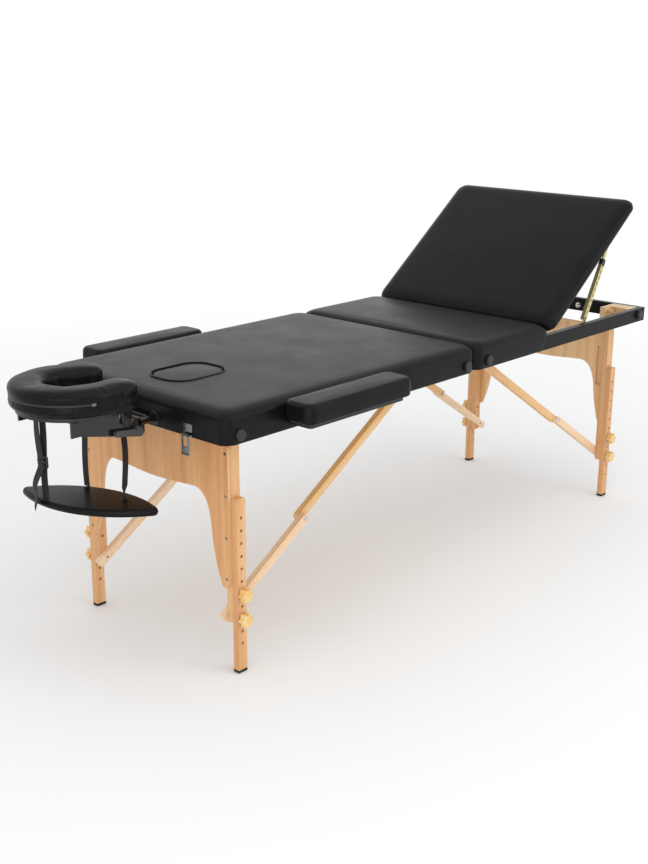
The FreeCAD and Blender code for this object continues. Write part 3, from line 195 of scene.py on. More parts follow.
@dataclass(frozen=True)
class Vinyl(Finish):
    """Upholstery vinyl: near black, with a fine pebble grain that breaks up its soft sheen.

    Attributes:
        dark: Colour of the darker patches.
        light: Colour of the lighter patches.
        rough: Roughness of the two kinds of patch, as greys.
        lustre: Strength of the shine.
        mottle_mm: Size of the patches.
        grain_mm: Size of the embossed pebbles.
        crease_mm: Size of the fine creases among them.
    """

    dark: str = "#0d0d0e"
    light: str = "#131314"
    rough: tuple[str, str] = ("#969696", "#a4a4a4")
    lustre: float = 0.13
    mottle_mm: float = 71.4
    grain_mm: float = 1.1
    crease_mm: float = 3.125

    def paint(self, tree: bpy.types.NodeTree, shader: bpy.types.Node) -> None:
        """Mottle the colour faintly, vary the sheen and emboss the grain.

        Args:
            tree: Tree of the material.
            shader: Shader to fill in.
        """
        place = add(tree, "ShaderNodeTexCoord").outputs["Object"]
        cloud = add(tree, "ShaderNodeTexNoise",
                    {"Vector": place, "Scale": METRE / self.mottle_mm, "Detail": 4.0})
        tint = add(tree, "ShaderNodeValToRGB", {0: cloud.outputs[0]},
                   stops=[(0.35, self.dark), (0.68, self.light)])
        sheen = add(tree, "ShaderNodeValToRGB", {0: cloud.outputs[0]},
                    stops=[(0.3, self.rough[0]), (0.7, self.rough[1])])
        pebble = add(tree, "ShaderNodeTexVoronoi", {"Vector": place, "Scale": METRE / self.grain_mm},
                     feature="SMOOTH_F1")
        crease = add(tree, "ShaderNodeTexNoise",
                     {"Vector": place, "Scale": METRE / self.crease_mm, "Detail": 3.0})
        depth = add(tree, "ShaderNodeMath", {0: pebble.outputs[0], 1: crease.outputs[0]}, operation="ADD")
        bump = add(tree, "ShaderNodeBump",
                   {"Height": depth.outputs[0], "Strength": 0.35, "Distance": 0.2 / METRE})
        shader.inputs["Specular IOR Level"].default_value = self.lustre
        tree.links.new(tint.outputs[0], shader.inputs["Base Color"])
        tree.links.new(sheen.outputs[0], shader.inputs["Roughness"])
        tree.links.new(bump.outputs[0], shader.inputs["Normal"])


@dataclass(frozen=True)
class Wood(Finish):
    """Lacquered wood: warm bands along the grain with short dark flecks.

    Attributes:
        pale: Colour between the bands.
        warm: Colour of the bands.
        along: Grain direction before tilting, as an axis number.
        tilt: Turn of the grain about Y, in degrees.
        plies: Thickness of one ply for boards whose edges show layers, or zero.
        rough: Roughness of the lacquer.
        band_mm: Width and length of a band.
        fleck_mm: Width and length of a fleck, drawn larger than life so that it shows.
    """

    pale: str = "#dfb07f"
    warm: str = "#d19862"
    along: int = 2
    tilt: float = 0.0
    plies: float = 0.0
    rough: float = 0.42
    band_mm: tuple[float, float] = (26.3, 588.0)
    fleck_mm: tuple[float, float] = (1.43, 22.2)

    def paint(self, tree: bpy.types.NodeTree, shader: bpy.types.Node) -> None:
        """Lay stretched noise along the grain for bands and flecks, under a satin lacquer.

        Args:
            tree: Tree of the material.
            shader: Shader to fill in.
        """
        place = add(tree, "ShaderNodeTexCoord").outputs["Object"]
        turn = add(tree, "ShaderNodeMapping",
                   {"Vector": place, "Rotation": (0.0, math.radians(self.tilt), 0.0)})
        band_scale = np.full(3, METRE / self.band_mm[0])
        band_scale[self.along] = METRE / self.band_mm[1]
        fleck_scale = np.full(3, METRE / self.fleck_mm[0])
        fleck_scale[self.along] = METRE / self.fleck_mm[1]
        bands_at = add(tree, "ShaderNodeMapping", {"Vector": turn.outputs[0], "Scale": band_scale.tolist()})
        flecks_at = add(tree, "ShaderNodeMapping", {"Vector": turn.outputs[0], "Scale": fleck_scale.tolist()})
        bands = add(tree, "ShaderNodeTexNoise",
                    {"Vector": bands_at.outputs[0], "Scale": 1.0, "Detail": 3.0, "Distortion": 0.6})
        tint = add(tree, "ShaderNodeValToRGB", {0: bands.outputs[0]},
                   stops=[(0.34, self.pale), (0.66, self.warm)])
        flecks = add(tree, "ShaderNodeTexNoise",
                     {"Vector": flecks_at.outputs[0], "Scale": 1.0, "Detail": 1.0})
        dots = add(tree, "ShaderNodeValToRGB", {0: flecks.outputs[0]},
                   stops=[(0.60, "#ffffff"), (0.72, "#d9bd9b")])
        body = add(tree, "ShaderNodeMix", {0: 0.55, 6: tint.outputs[0], 7: dots.outputs[0]},
                   data_type="RGBA", blend_type="MULTIPLY")
        colour = body.outputs[2]
        if self.plies:
            colour = self.layered(tree, place, colour)
        bump = add(tree, "ShaderNodeBump",
                   {"Height": flecks.outputs[0], "Strength": 0.15, "Distance": 0.2 / METRE})
        shader.inputs["Roughness"].default_value = self.rough
        tree.links.new(colour, shader.inputs["Base Color"])
        tree.links.new(bump.outputs[0], shader.inputs["Normal"])

    def layered(self, tree: bpy.types.NodeTree, place: bpy.types.NodeSocket,
                face: bpy.types.NodeSocket) -> bpy.types.NodeSocket:
        """Show ply layers wherever the surface turns away from the board's broad face.

        Args:
            tree: Tree that gets the nodes.
            place: Object coordinates.
            face: Colour of the broad faces.

        Returns:
            Colour with the layered edges.
        """
        layers = add(tree, "ShaderNodeTexWave", {"Vector": place, "Scale": WAVE_MM / self.plies},
                     wave_type="BANDS", bands_direction="X")
        edge = add(tree, "ShaderNodeValToRGB", {0: layers.outputs[0]},
                   stops=[(0.35, "#c99660"), (0.65, "#e9c596")])
        normal = add(tree, "ShaderNodeNewGeometry").outputs["True Normal"]
        split = add(tree, "ShaderNodeSeparateXYZ", {0: normal})
        facing = add(tree, "ShaderNodeMath", {0: split.outputs[0]}, operation="ABSOLUTE")
        broad = add(tree, "ShaderNodeMath", {0: facing.outputs[0], 1: 0.6}, operation="GREATER_THAN")
        mixed = add(tree, "ShaderNodeMix", {0: broad.outputs[0], 6: edge.outputs[0], 7: face},
                    data_type="RGBA")
        return mixed.outputs[2]


@dataclass(frozen=True)
class Metal(Finish):
    """Plated or coated metal with faint uneven polish.

    Attributes:
        colour: Colour of the plating or coat.
        gloss: Least and greatest roughness, as greys.
        metallic: One for bare plating, less under a film, zero under a coat that hides the metal.
        wear_mm: Size of the patches of polish.
    """

    colour: str
    gloss: tuple[str, str] = ("#3a3a3a", "#5a5a5a")
    metallic: float = 1.0
    wear_mm: float = 6.25

    def paint(self, tree: bpy.types.NodeTree, shader: bpy.types.Node) -> None:
        """Vary the polish over a few millimetres.

        Args:
            tree: Tree of the material.
            shader: Shader to fill in.
        """
        place = add(tree, "ShaderNodeTexCoord").outputs["Object"]
        wear = add(tree, "ShaderNodeTexNoise",
                   {"Vector": place, "Scale": METRE / self.wear_mm, "Detail": 4.0})
        polish = add(tree, "ShaderNodeValToRGB", {0: wear.outputs[0]},
                     stops=[(0.3, self.gloss[0]), (0.7, self.gloss[1])])
        shader.inputs["Base Color"].default_value = linear(self.colour)
        shader.inputs["Metallic"].default_value = self.metallic
        tree.links.new(polish.outputs[0], shader.inputs["Roughness"])


@dataclass(frozen=True)
class Moulded(Finish):
    """Moulded plastic or rubber: even colour and a fine spark-eroded texture.

    Attributes:
        colour: Colour of the moulding.
        rough: Roughness.
        texture_mm: Size of the texture, drawn coarser than life so that it shows.
    """

    colour: str
    rough: float
    texture_mm: float

    def paint(self, tree: bpy.types.NodeTree, shader: bpy.types.Node) -> None:
        """Set the colour and press in the fine texture.

        Args:
            tree: Tree of the material.
            shader: Shader to fill in.
        """
        place = add(tree, "ShaderNodeTexCoord").outputs["Object"]
        fine = add(tree, "ShaderNodeTexNoise",
                   {"Vector": place, "Scale": METRE / self.texture_mm, "Detail": 2.0})
        bump = add(tree, "ShaderNodeBump",
                   {"Height": fine.outputs[0], "Strength": 0.2, "Distance": 0.1 / METRE})
        shader.inputs["Base Color"].default_value = linear(self.colour)
        shader.inputs["Roughness"].default_value = self.rough
        tree.links.new(bump.outputs[0], shader.inputs["Normal"])


@dataclass(frozen=True)
class Webbing(Finish):
    """Woven polyester webbing: crossed ribs that give a dull, slightly open surface.

    Attributes:
        colour: Colour of the yarn.
        rough: Roughness.
        pick_mm: Spacing of the ribs along a strap, drawn coarser than life so that they show.
        end_mm: Spacing of the ribs across a strap, drawn coarser too.
    """

    colour: str = "#131314"
    rough: float = 0.75
    pick_mm: float = 2.2
    end_mm: float = 1.375

    def paint(self, tree: bpy.types.NodeTree, shader: bpy.types.Node) -> None:
        """Cross two sets of ribs for the weave.

        Args:
            tree: Tree of the material.
            shader: Shader to fill in.
        """
        place = add(tree, "ShaderNodeTexCoord").outputs["Object"]
        across = add(tree, "ShaderNodeTexWave", {"Vector": place, "Scale": WAVE_MM / self.pick_mm},
                     wave_type="BANDS", bands_direction="Z")
        down = add(tree, "ShaderNodeTexWave", {"Vector": place, "Scale": WAVE_MM / self.end_mm},
                   wave_type="BANDS", bands_direction="Y")
        weave = add(tree, "ShaderNodeMath", {0: across.outputs[0], 1: down.outputs[0]}, operation="ADD")
        bump = add(tree, "ShaderNodeBump",
                   {"Height": weave.outputs[0], "Strength": 0.5, "Distance": 0.4 / METRE})
        shader.inputs["Base Color"].default_value = linear(self.colour)
        shader.inputs["Roughness"].default_value = self.rough
        tree.links.new(bump.outputs[0], shader.inputs["Normal"])


# Slope of the braces at rest, in degrees, which their grain follows.
BRACE_TILT = 32.54

# Soft satin black that greys under a broad light, as the covers do.
VINYL = Vinyl("black upholstery vinyl", "black_vinyl")
# Warm straight-grained posts.
BEECH = Wood("lacquered beech", "beech")
# The aprons' face veneer runs upright and their cut edges show layers. The foot apron is the same wood; its
# colour is painted lighter, as painted light for the light that falls on it under the bed.
HEAD_BOARD = Wood("lacquered beech plywood", "beech", "#dda872", "#cd9157", 2, plies=1.3)
FOOT_BOARD_PAINTED_LIT = Wood("light lacquered beech plywood", "beech", "#f2ca98", "#e6b57d", 2, plies=1.3)
# Lower brace links are a paler, pinker wood than the legs, and the upper links a yellower one.
PALE_HEAD = Wood("pale beech rising to the fold", "pale_beech", "#f2d6b6", "#e8c49c", 0, BRACE_TILT)
PALE_FOOT = Wood("pale beech falling from the fold", "pale_beech", "#f2d6b6", "#e8c49c", 0, -BRACE_TILT)
WARM_HEAD = Wood("warm beech rising to the fold", "pale_beech", "#e8c08a", "#dba96c", 0, BRACE_TILT)
WARM_FOOT = Wood("warm beech falling from the fold", "pale_beech", "#e8c08a", "#dba96c", 0, -BRACE_TILT)
# Frame blocks are cut along the rails, from wood between those two in colour.
PALE_BLOCK = Wood("pale beech block", "pale_beech", "#efcf9f", "#e4b981", 0)
# Knobs are a yellower turned wood.
KNOB = Wood("turned pale wood", "knob_wood", "#f0cd8e", "#e6b970", 1)
# Thin birch board under the cushions, greyer than the legs.
PLY = Wood("birch plywood", "plywood", "#d9bb8f", "#cda978", 0)
# Feet are dull and hold no highlight.
RUBBER = Moulded("black rubber", "rubber", "#171717", 0.8, 1.0)
# Moulded fittings keep a low, even sheen.
PLASTIC = Moulded("black moulded plastic", "black_plastic", "#161617", 0.42, 0.5)
# The cam lever is charcoal, so that it stands out from the black frame around it.
GREY_PLASTIC = Moulded("grey moulded plastic", "grey_plastic", "#3b3b3d", 0.45, 0.5)
# Bright plating gives hinges and bolts a clean grey shine.
ZINC = Metal("bright zinc steel", "zinc_steel", "#bdbfc0")
# Screws and bolts in the wood have dulled to a brownish grey.
AGED_ZINC = Metal("dulled zinc steel", "zinc_steel", "#8b8172", ("#707070", "#8c8c8c"))
# Latches mirror the white room, so their plating is darker than it looks.
CHROME = Metal("chrome plate", "chrome", "#77797b", ("#4a4a4a", "#606060"))
# Yellow passivated stays show a soft straw-coloured sheen.
YELLOW_ZINC = Metal("yellow zinc steel", "yellow_zinc", "#d3c48a", ("#484848", "#686868"), 0.6)
# Powder coat hides the metal, so it reads as a dark satin skin.
COATED = Metal("black coated steel", "black_steel", "#131314", ("#585858", "#707070"), 0.0)
# Straps are flat black with a dull ribbed face.
STRAP = Webbing("black webbing", "webbing")


def skin(name: str, rows: np.ndarray, finish: Finish, body: str, ends: Ends = Ends.CLOSED,
         crease: float = 40.0) -> bpy.types.Object:
    """Join loops of points into one mesh piece, each point to the next in its loop and in the next loop.

    Args:
        name: Name of the piece.
        rows: Loops, points around each loop, and coordinates in millimetres.
        finish: Finish of the piece.
        body: Body that it rides on.
        ends: Whether the end loops are fanned shut or joined to each other.
        crease: Angle between faces above which an edge stays sharp, in degrees.

    Returns:
        The piece.
    """
    count, around = rows.shape[:2]
    grid = np.arange(count * around).reshape(count, around)
    low = grid if ends is Ends.RING else grid[:-1]
    high = np.roll(grid, -1, axis=0) if ends is Ends.RING else grid[1:]
    quads = np.stack([low, np.roll(low, -1, 1), np.roll(high, -1, 1), high], axis=-1)
    points = rows.reshape(-1, 3)
    faces = quads.reshape(-1, 4).tolist()
    if ends is Ends.CLOSED:
        for row in (grid[0][::-1], grid[-1]):
            centre = np.full(around, len(points))
            points = np.vstack([points, points[row].mean(axis=0)])
            faces += np.stack([row, np.roll(row, -1), centre], axis=-1).tolist()
    mesh = bpy.data.meshes.new(name)
    mesh.from_pydata(((points + SHIFT_X * X_AXIS) / METRE).tolist(), [], faces)
    work = bmesh.new()
    work.from_mesh(mesh)
    bmesh.ops.recalc_face_normals(work, faces=work.faces)
    work.to_mesh(mesh)
    work.free()
    mesh.polygons.foreach_set("use_smooth", np.ones(len(mesh.polygons), dtype=bool))
    mesh.set_sharp_from_angle(angle=math.radians(crease))
    mesh.materials.append(finish.material())
    piece = bpy.data.objects.new(name, mesh)
    bpy.context.scene.collection.objects.link(piece)
    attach(piece, body)
    return piece


def unit(vectors: np.ndarray) -> np.ndarray:
    """Scale vectors along the last axis to length one."""
    return vectors / np.linalg.norm(vectors, axis=-1, keepdims=True)


def rotated(first: np.ndarray, second: np.ndarray, degrees: float) -> tuple[np.ndarray, np.ndarray]:
    """Turn two coordinates about their zero, from the first axis toward the second.

    Args:
        first: Coordinates along the first axis.
        second: Coordinates along the second axis.
        degrees: Turn.

    Returns:
        Both coordinates after the turn.
    """
    c, s = math.cos(math.radians(degrees)), math.sin(math.radians(degrees))
    return c * first - s * second, s * first + c * second


def squared_off(wave: np.ndarray, power: float | np.ndarray) -> np.ndarray:
    """A sine or cosine raised to two over a power with its sign kept, which squares off a round."""
    return np.sign(wave) * np.abs(wave) ** (2.0 / power)


def rounded_section(half_wide: float, half_high: float, power: float, count: int = 32) -> np.ndarray:
    """Closed outline |x/a|^n + |y/b|^n = 1, from an ellipse at power 2 to a box at high power.

    Args:
        half_wide: Half of the width, a.
        half_high: Half of the height, b.
        power: Squareness, n.
        count: Points around.

    Returns:
        Points of the outline.
    """
    turn = np.linspace(0.0, 2.0 * np.pi, count, endpoint=False)
    return np.column_stack([half_wide * squared_off(np.cos(turn), power),
                            half_high * squared_off(np.sin(turn), power)])


def sweep(path: np.ndarray, section: np.ndarray, wide: np.ndarray, closed: bool = False) -> np.ndarray:
    """Carry a section along a path.

    Each point is the path point plus the section's first number along the width direction and its
    second along the direction square to both width and path.

    Args:
        path: Points along the path.
        section: Outline, the same all along or one for each path point.
        wide: Width direction, one or one for each path point.
        closed: Whether the path's end joins its start.

    Returns:
        Loops of points.
    """
    if closed:
        along = unit(np.roll(path, -1, 0) - np.roll(path, 1, 0))
    else:
        along = unit(np.gradient(path, axis=0))
    wide = np.broadcast_to(wide, path.shape)
    wide = unit(wide - along * np.sum(wide * along, axis=1, keepdims=True))
    high = np.cross(along, wide)
    section = np.broadcast_to(section, (len(path),) + section.shape[-2:])
    return path[:, None, :] + section[:, :, :1] * wide[:, None, :] + section[:, :, 1:] * high[:, None, :]


def lathe(centre: tuple[float, float, float], axis: tuple[float, float, float],
          profile: tuple[tuple[float, float], ...], count: int = 28) -> np.ndarray:
    """Turn a profile about an axis: centre plus distance along it plus radius times a unit circle.

    Args:
        centre: Point on the axis from which distances count.
        axis: Direction of the axis.
        profile: Distance along the axis and radius of each loop.
        count: Points around.

    Returns:
        Loops of points.
    """
    main = unit(np.array(axis, dtype=float))
    first = unit(np.cross(main, Z_AXIS if abs(main[2]) < 0.9 else X_AXIS))
    second = np.cross(main, first)
    turn = np.linspace(0.0, 2.0 * np.pi, count, endpoint=False)[None, :, None]
    along, radius = np.array(profile).T[:, :, None, None]
    return np.array(centre) + along * main + radius * (np.cos(turn) * first + np.sin(turn) * second)


def rounded_rectangle(x0: float, x1: float, y0: float, y1: float, corner: float, pitch: float,
                      inset: float = 0.0) -> tuple[np.ndarray, np.ndarray]:
    """Loop of a rectangle with round corners, drawn in by an inset that leaves its corner radius alone.

    Each corner is a quarter circle about its own centre, with a straight run on to the next corner.

    Args:
        x0: Low X side.
        x1: High X side.
        y0: Low Y side.
        y1: High Y side.
        corner: Corner radius.
        pitch: Spacing of points on the straight sides of the full loop.
        inset: How far the sides are drawn in.

    Returns:
        Points and outward normals.
    """
    margin = corner + inset
    centres = np.array([[x1 - margin, y1 - margin], [x0 + margin, y1 - margin],
                        [x0 + margin, y0 + margin], [x1 - margin, y0 + margin]])
    points, normals = [], []
    for i in range(4):
        turn = np.radians(90.0 * i + np.linspace(0.0, 90.0, CORNER_POINTS))
        arc = np.column_stack([np.cos(turn), np.sin(turn)])
        points.append(centres[i] + corner * arc)
        normals.append(arc)
        start, stop = centres[i] + corner * arc[-1], centres[(i + 1) % 4] + corner * arc[-1]
        steps = max(int((np.linalg.norm(stop - start) + 2.0 * inset) / pitch + 0.5), 2)
        part = np.linspace(0.0, 1.0, steps + 1)[1:-1, None]
        points.append(start + (stop - start) * part)
        normals.append(np.broadcast_to(arc[-1], (len(part), 2)))
    return np.vstack(points), np.vstack(normals)


def at_height(plan: np.ndarray, z: float | np.ndarray) -> np.ndarray:
    """Points of a plan at one height, or each at its own."""
    return np.column_stack([plan, np.broadcast_to(z, len(plan))])


def ring(loop: np.ndarray, normal: np.ndarray, inset: float | np.ndarray,
         z: float | np.ndarray) -> np.ndarray:
    """Loop moved in along its normals by an inset, at a height.

    Args:
        loop: Outline in plan.
        normal: Outward normals of the outline.
        inset: Distance inward, one or one for each point.
        z: Height, one or one for each point.

    Returns:
        Points of the loop.
    """
    return at_height(loop - np.reshape(inset, (-1, 1)) * normal, z)


def quarter(radius: float, steps: int) -> np.ndarray:
    """Inset and drop of points on a quarter round, from the side to the top.

    Args:
        radius: Radius of the round.
        steps: Number of points.

    Returns:
        One minus the cosine and one minus the sine of each turn, times the radius.
    """
    turn = np.linspace(0.0, np.pi / 2.0, steps)
    return radius * (1.0 - np.column_stack([np.cos(turn), np.sin(turn)]))


def crown(plan: np.ndarray, middle: np.ndarray, half: np.ndarray, uneven: float = 0.08) -> np.ndarray:
    """Swell from zero at the rim of a rectangle to one in its middle, with a faint unevenness.

    The swell is the product of two parabolas; the unevenness is a sum of slow sines.

    Args:
        plan: Points in plan.
        middle: Middle of the rectangle.
        half: Half of its length and width.
        uneven: Share of the swell that each sine adds.

    Returns:
        Swell at each point.
    """
    x, y = plan.T
    swell = np.prod(np.clip(1.0 - ((plan - middle) / half) ** 2, 0.0, 1.0), axis=1)
    wave = sum(np.sin(x / across + y / up + phase) for across, up, phase in TOP_WAVES)
    return swell * (1.0 + uneven * wave)


def pillow(loop: np.ndarray, normal: np.ndarray, z0: float, z1: float, top: float, bottom: float,
           swell: float, side: float) -> np.ndarray:
    """Closed padded form over a loop: flat foot, round edges, full sides and a crowned top.

    The edges are quarter rounds, the sides bulge as a sine of their height, and the top rises as a
    parabola along straight lines to the middle.

    Args:
        loop: Outline in plan.
        normal: Outward normals of the outline.
        z0: Underside height.
        z1: Height of the top at its rim.
        top: Rounding of the upper edge.
        bottom: Rounding of the lower edge.
        swell: Rise of the top in the middle.
        side: Bulge of the sides at half height.

    Returns:
        Loops from the middle of the foot to the middle of the top.
    """
    middle = loop.mean(axis=0)
    foot = loop - bottom * normal
    rim = loop - top * normal
    rows = [at_height(middle + (foot - middle) * share, z0) for share in (0.04, 0.3, 0.6, 0.85)]
    rows += [ring(loop, normal, inset, z0 + drop) for inset, drop in quarter(bottom, 7)[::-1]]
    for share in np.linspace(0.0, 1.0, 7)[1:-1]:
        z = z0 + bottom + share * (z1 - top - z0 - bottom)
        rows.append(ring(loop, normal, -side * math.sin(math.pi * share), z))
    rows += [ring(loop, normal, inset, z1 - drop) for inset, drop in quarter(top, 9)]
    for share in np.linspace(0.0, 1.0 - NEAR_POLE, 16)[1:]:
        rise = swell * (1.0 - (1.0 - share) ** 2)
        rows.append(at_height(rim + (middle - rim) * share, z1 + rise))
    return np.array(rows)


@dataclass(frozen=True)
class Inflation:
    """How a cover is blown up over its foam by a short cloth run.

    Attributes:
        voxel: Size of the even mesh that the run works on.
        pressure: Push from inside.
        spare: Share by which the cover is cut larger than its form, which puckers it.
        cap: Furthest that a point may move.
        frames: Length of the run.
        quality: Steps in each frame.
        mass: Weight of the cover at each point, in kilograms.
        bending: Stiffness against folding.
    """

    voxel: float = 4.5
    pressure: float = 4.0
    spare: float = 0.018
    cap: float = 5.0
    frames: int = 20
    quality: int = 6
    mass: float = 0.3
    bending: float = 2.0

    def run(self, piece: bpy.types.Object, held: Callable[[np.ndarray], np.ndarray]) -> None:
        """Remesh a cover evenly, blow it up and keep the result as its mesh.

        A point's move is shortened to the cap times the hyperbolic tangent of its length over the cap.

        Args:
            piece: Cover to work on.
            held: From points in the drawing frame, how firmly each is held, from 0 to 1.
        """
        name = piece.data.name
        even = piece.modifiers.new("even", "REMESH")
        even.mode = "VOXEL"
        even.voxel_size = self.voxel / METRE
        even.use_smooth_shade = True
        self.settle(piece, even)
        start = self.points(piece.data)
        grip = np.round(held(start - SHIFT_X * X_AXIS), 1)
        group = piece.vertex_groups.new(name="held")
        for level in np.unique(grip):
            group.add(np.flatnonzero(grip == level).tolist(), float(level), "REPLACE")
        cloth = self.cloth(piece, group.name)
        for number in range(1, self.frames + 1):
            bpy.context.scene.frame_set(number)
        self.settle(piece, cloth)
        bpy.context.scene.frame_set(1)
        move = self.points(piece.data) - start
        length = np.linalg.norm(move, axis=1, keepdims=True)
        move *= self.cap * np.tanh(length / self.cap) / np.maximum(length, 1e-6)
        piece.data.vertices.foreach_set("co", ((start + move) / METRE).ravel())
        piece.data.name = name
        piece.vertex_groups.clear()
        finer = piece.modifiers.new("finer", "SUBSURF")
        finer.levels = 1
        finer.render_levels = 1

    def cloth(self, piece: bpy.types.Object, group: str) -> bpy.types.Modifier:
        """Add the cloth to a cover.

        Args:
            piece: Cover to work on.
            group: Vertex group that holds the cover in place.

        Returns:
            The cloth modifier.
        """
        cloth = piece.modifiers.new("cloth", "CLOTH")
        cloth.point_cache.frame_start = 1
        cloth.point_cache.frame_end = self.frames
        rule = cloth.settings
        rule.quality = self.quality
        rule.mass = self.mass
        rule.use_pressure = True
        rule.uniform_pressure_force = self.pressure
        rule.shrink_min = -self.spare
        rule.bending_stiffness = self.bending
        rule.effector_weights.gravity = 0.0
        rule.vertex_group_mass = group
        return cloth

    @staticmethod
    def settle(piece: bpy.types.Object, modifier: bpy.types.Modifier) -> None:
        """Make the modified mesh the piece's own and drop the modifier.

        Args:
            piece: Piece to work on.
            modifier: Modifier whose result is kept.
        """
        bpy.context.view_layer.update()
        view = bpy.context.evaluated_depsgraph_get()
        mesh = bpy.data.meshes.new_from_object(piece.evaluated_get(view), depsgraph=view)
        piece.modifiers.remove(modifier)
        old = piece.data
        piece.data = mesh
        bpy.data.meshes.remove(old)

    @staticmethod
    def points(mesh: bpy.types.Mesh) -> np.ndarray:
        """Read the points of a mesh.

        Args:
            mesh: Mesh to read.

        Returns:
            Coordinates in the shared frame, in millimetres.
        """
        flat = np.empty(3 * len(mesh.vertices), dtype=np.float32)
        mesh.vertices.foreach_get("co", flat)
        return METRE * flat.reshape(-1, 3).astype(float)


@dataclass(frozen=True)
class BreathOpening:
    """Rounded opening for the face.

    Attributes:
        x: X of the middle.
        rx: Half length.
        ry: Half width.
        corner: Corner radius.
    """

    x: float = -746.0
    rx: float = 88.0
    ry: float = 67.0
    corner: float = 52.0

    def middle(self) -> np.ndarray:
        """Middle of the opening in plan."""
        return np.array([self.x, 0.0])

    def loop(self, grow: float, pitch: float = 6.0) -> tuple[np.ndarray, np.ndarray]:
        """Outline grown by a distance.

        Args:
            grow: How far the outline moves outward.
            pitch: Spacing of points on its straight sides.

        Returns:
            Points and outward normals.
        """
        rx, ry = self.rx + grow, self.ry + grow
        return rounded_rectangle(self.x - rx, self.x + rx, -ry, ry, self.corner + grow, pitch)

    def toward(self, points: np.ndarray, grow: float) -> np.ndarray:
        """Where straight lines from the middle to given points cross the grown outline.

        A line meets either a straight side, at the half size over the direction's part along it, or
        a corner circle, at the larger root of the circle's equation.

        Args:
            points: Points in plan.
            grow: How far the outline moves outward.

        Returns:
            Crossing for each point.
        """
        rx, ry, corner = self.rx + grow, self.ry + grow, self.corner + grow
        ray = unit(points - self.middle())
        part = np.maximum(np.abs(ray), 1e-9)
        flat = np.minimum(rx / part[:, 0], ry / part[:, 1])
        centre = np.array([rx - corner, ry - corner])
        dot = part @ centre
        bend = dot + np.sqrt(np.clip(dot ** 2 - centre @ centre + corner ** 2, 0.0, None))
        turning = (bend * part[:, 0] > centre[0]) & (bend * part[:, 1] > centre[1])
        return self.middle() + ray * np.where(turning, bend, flat)[:, None]


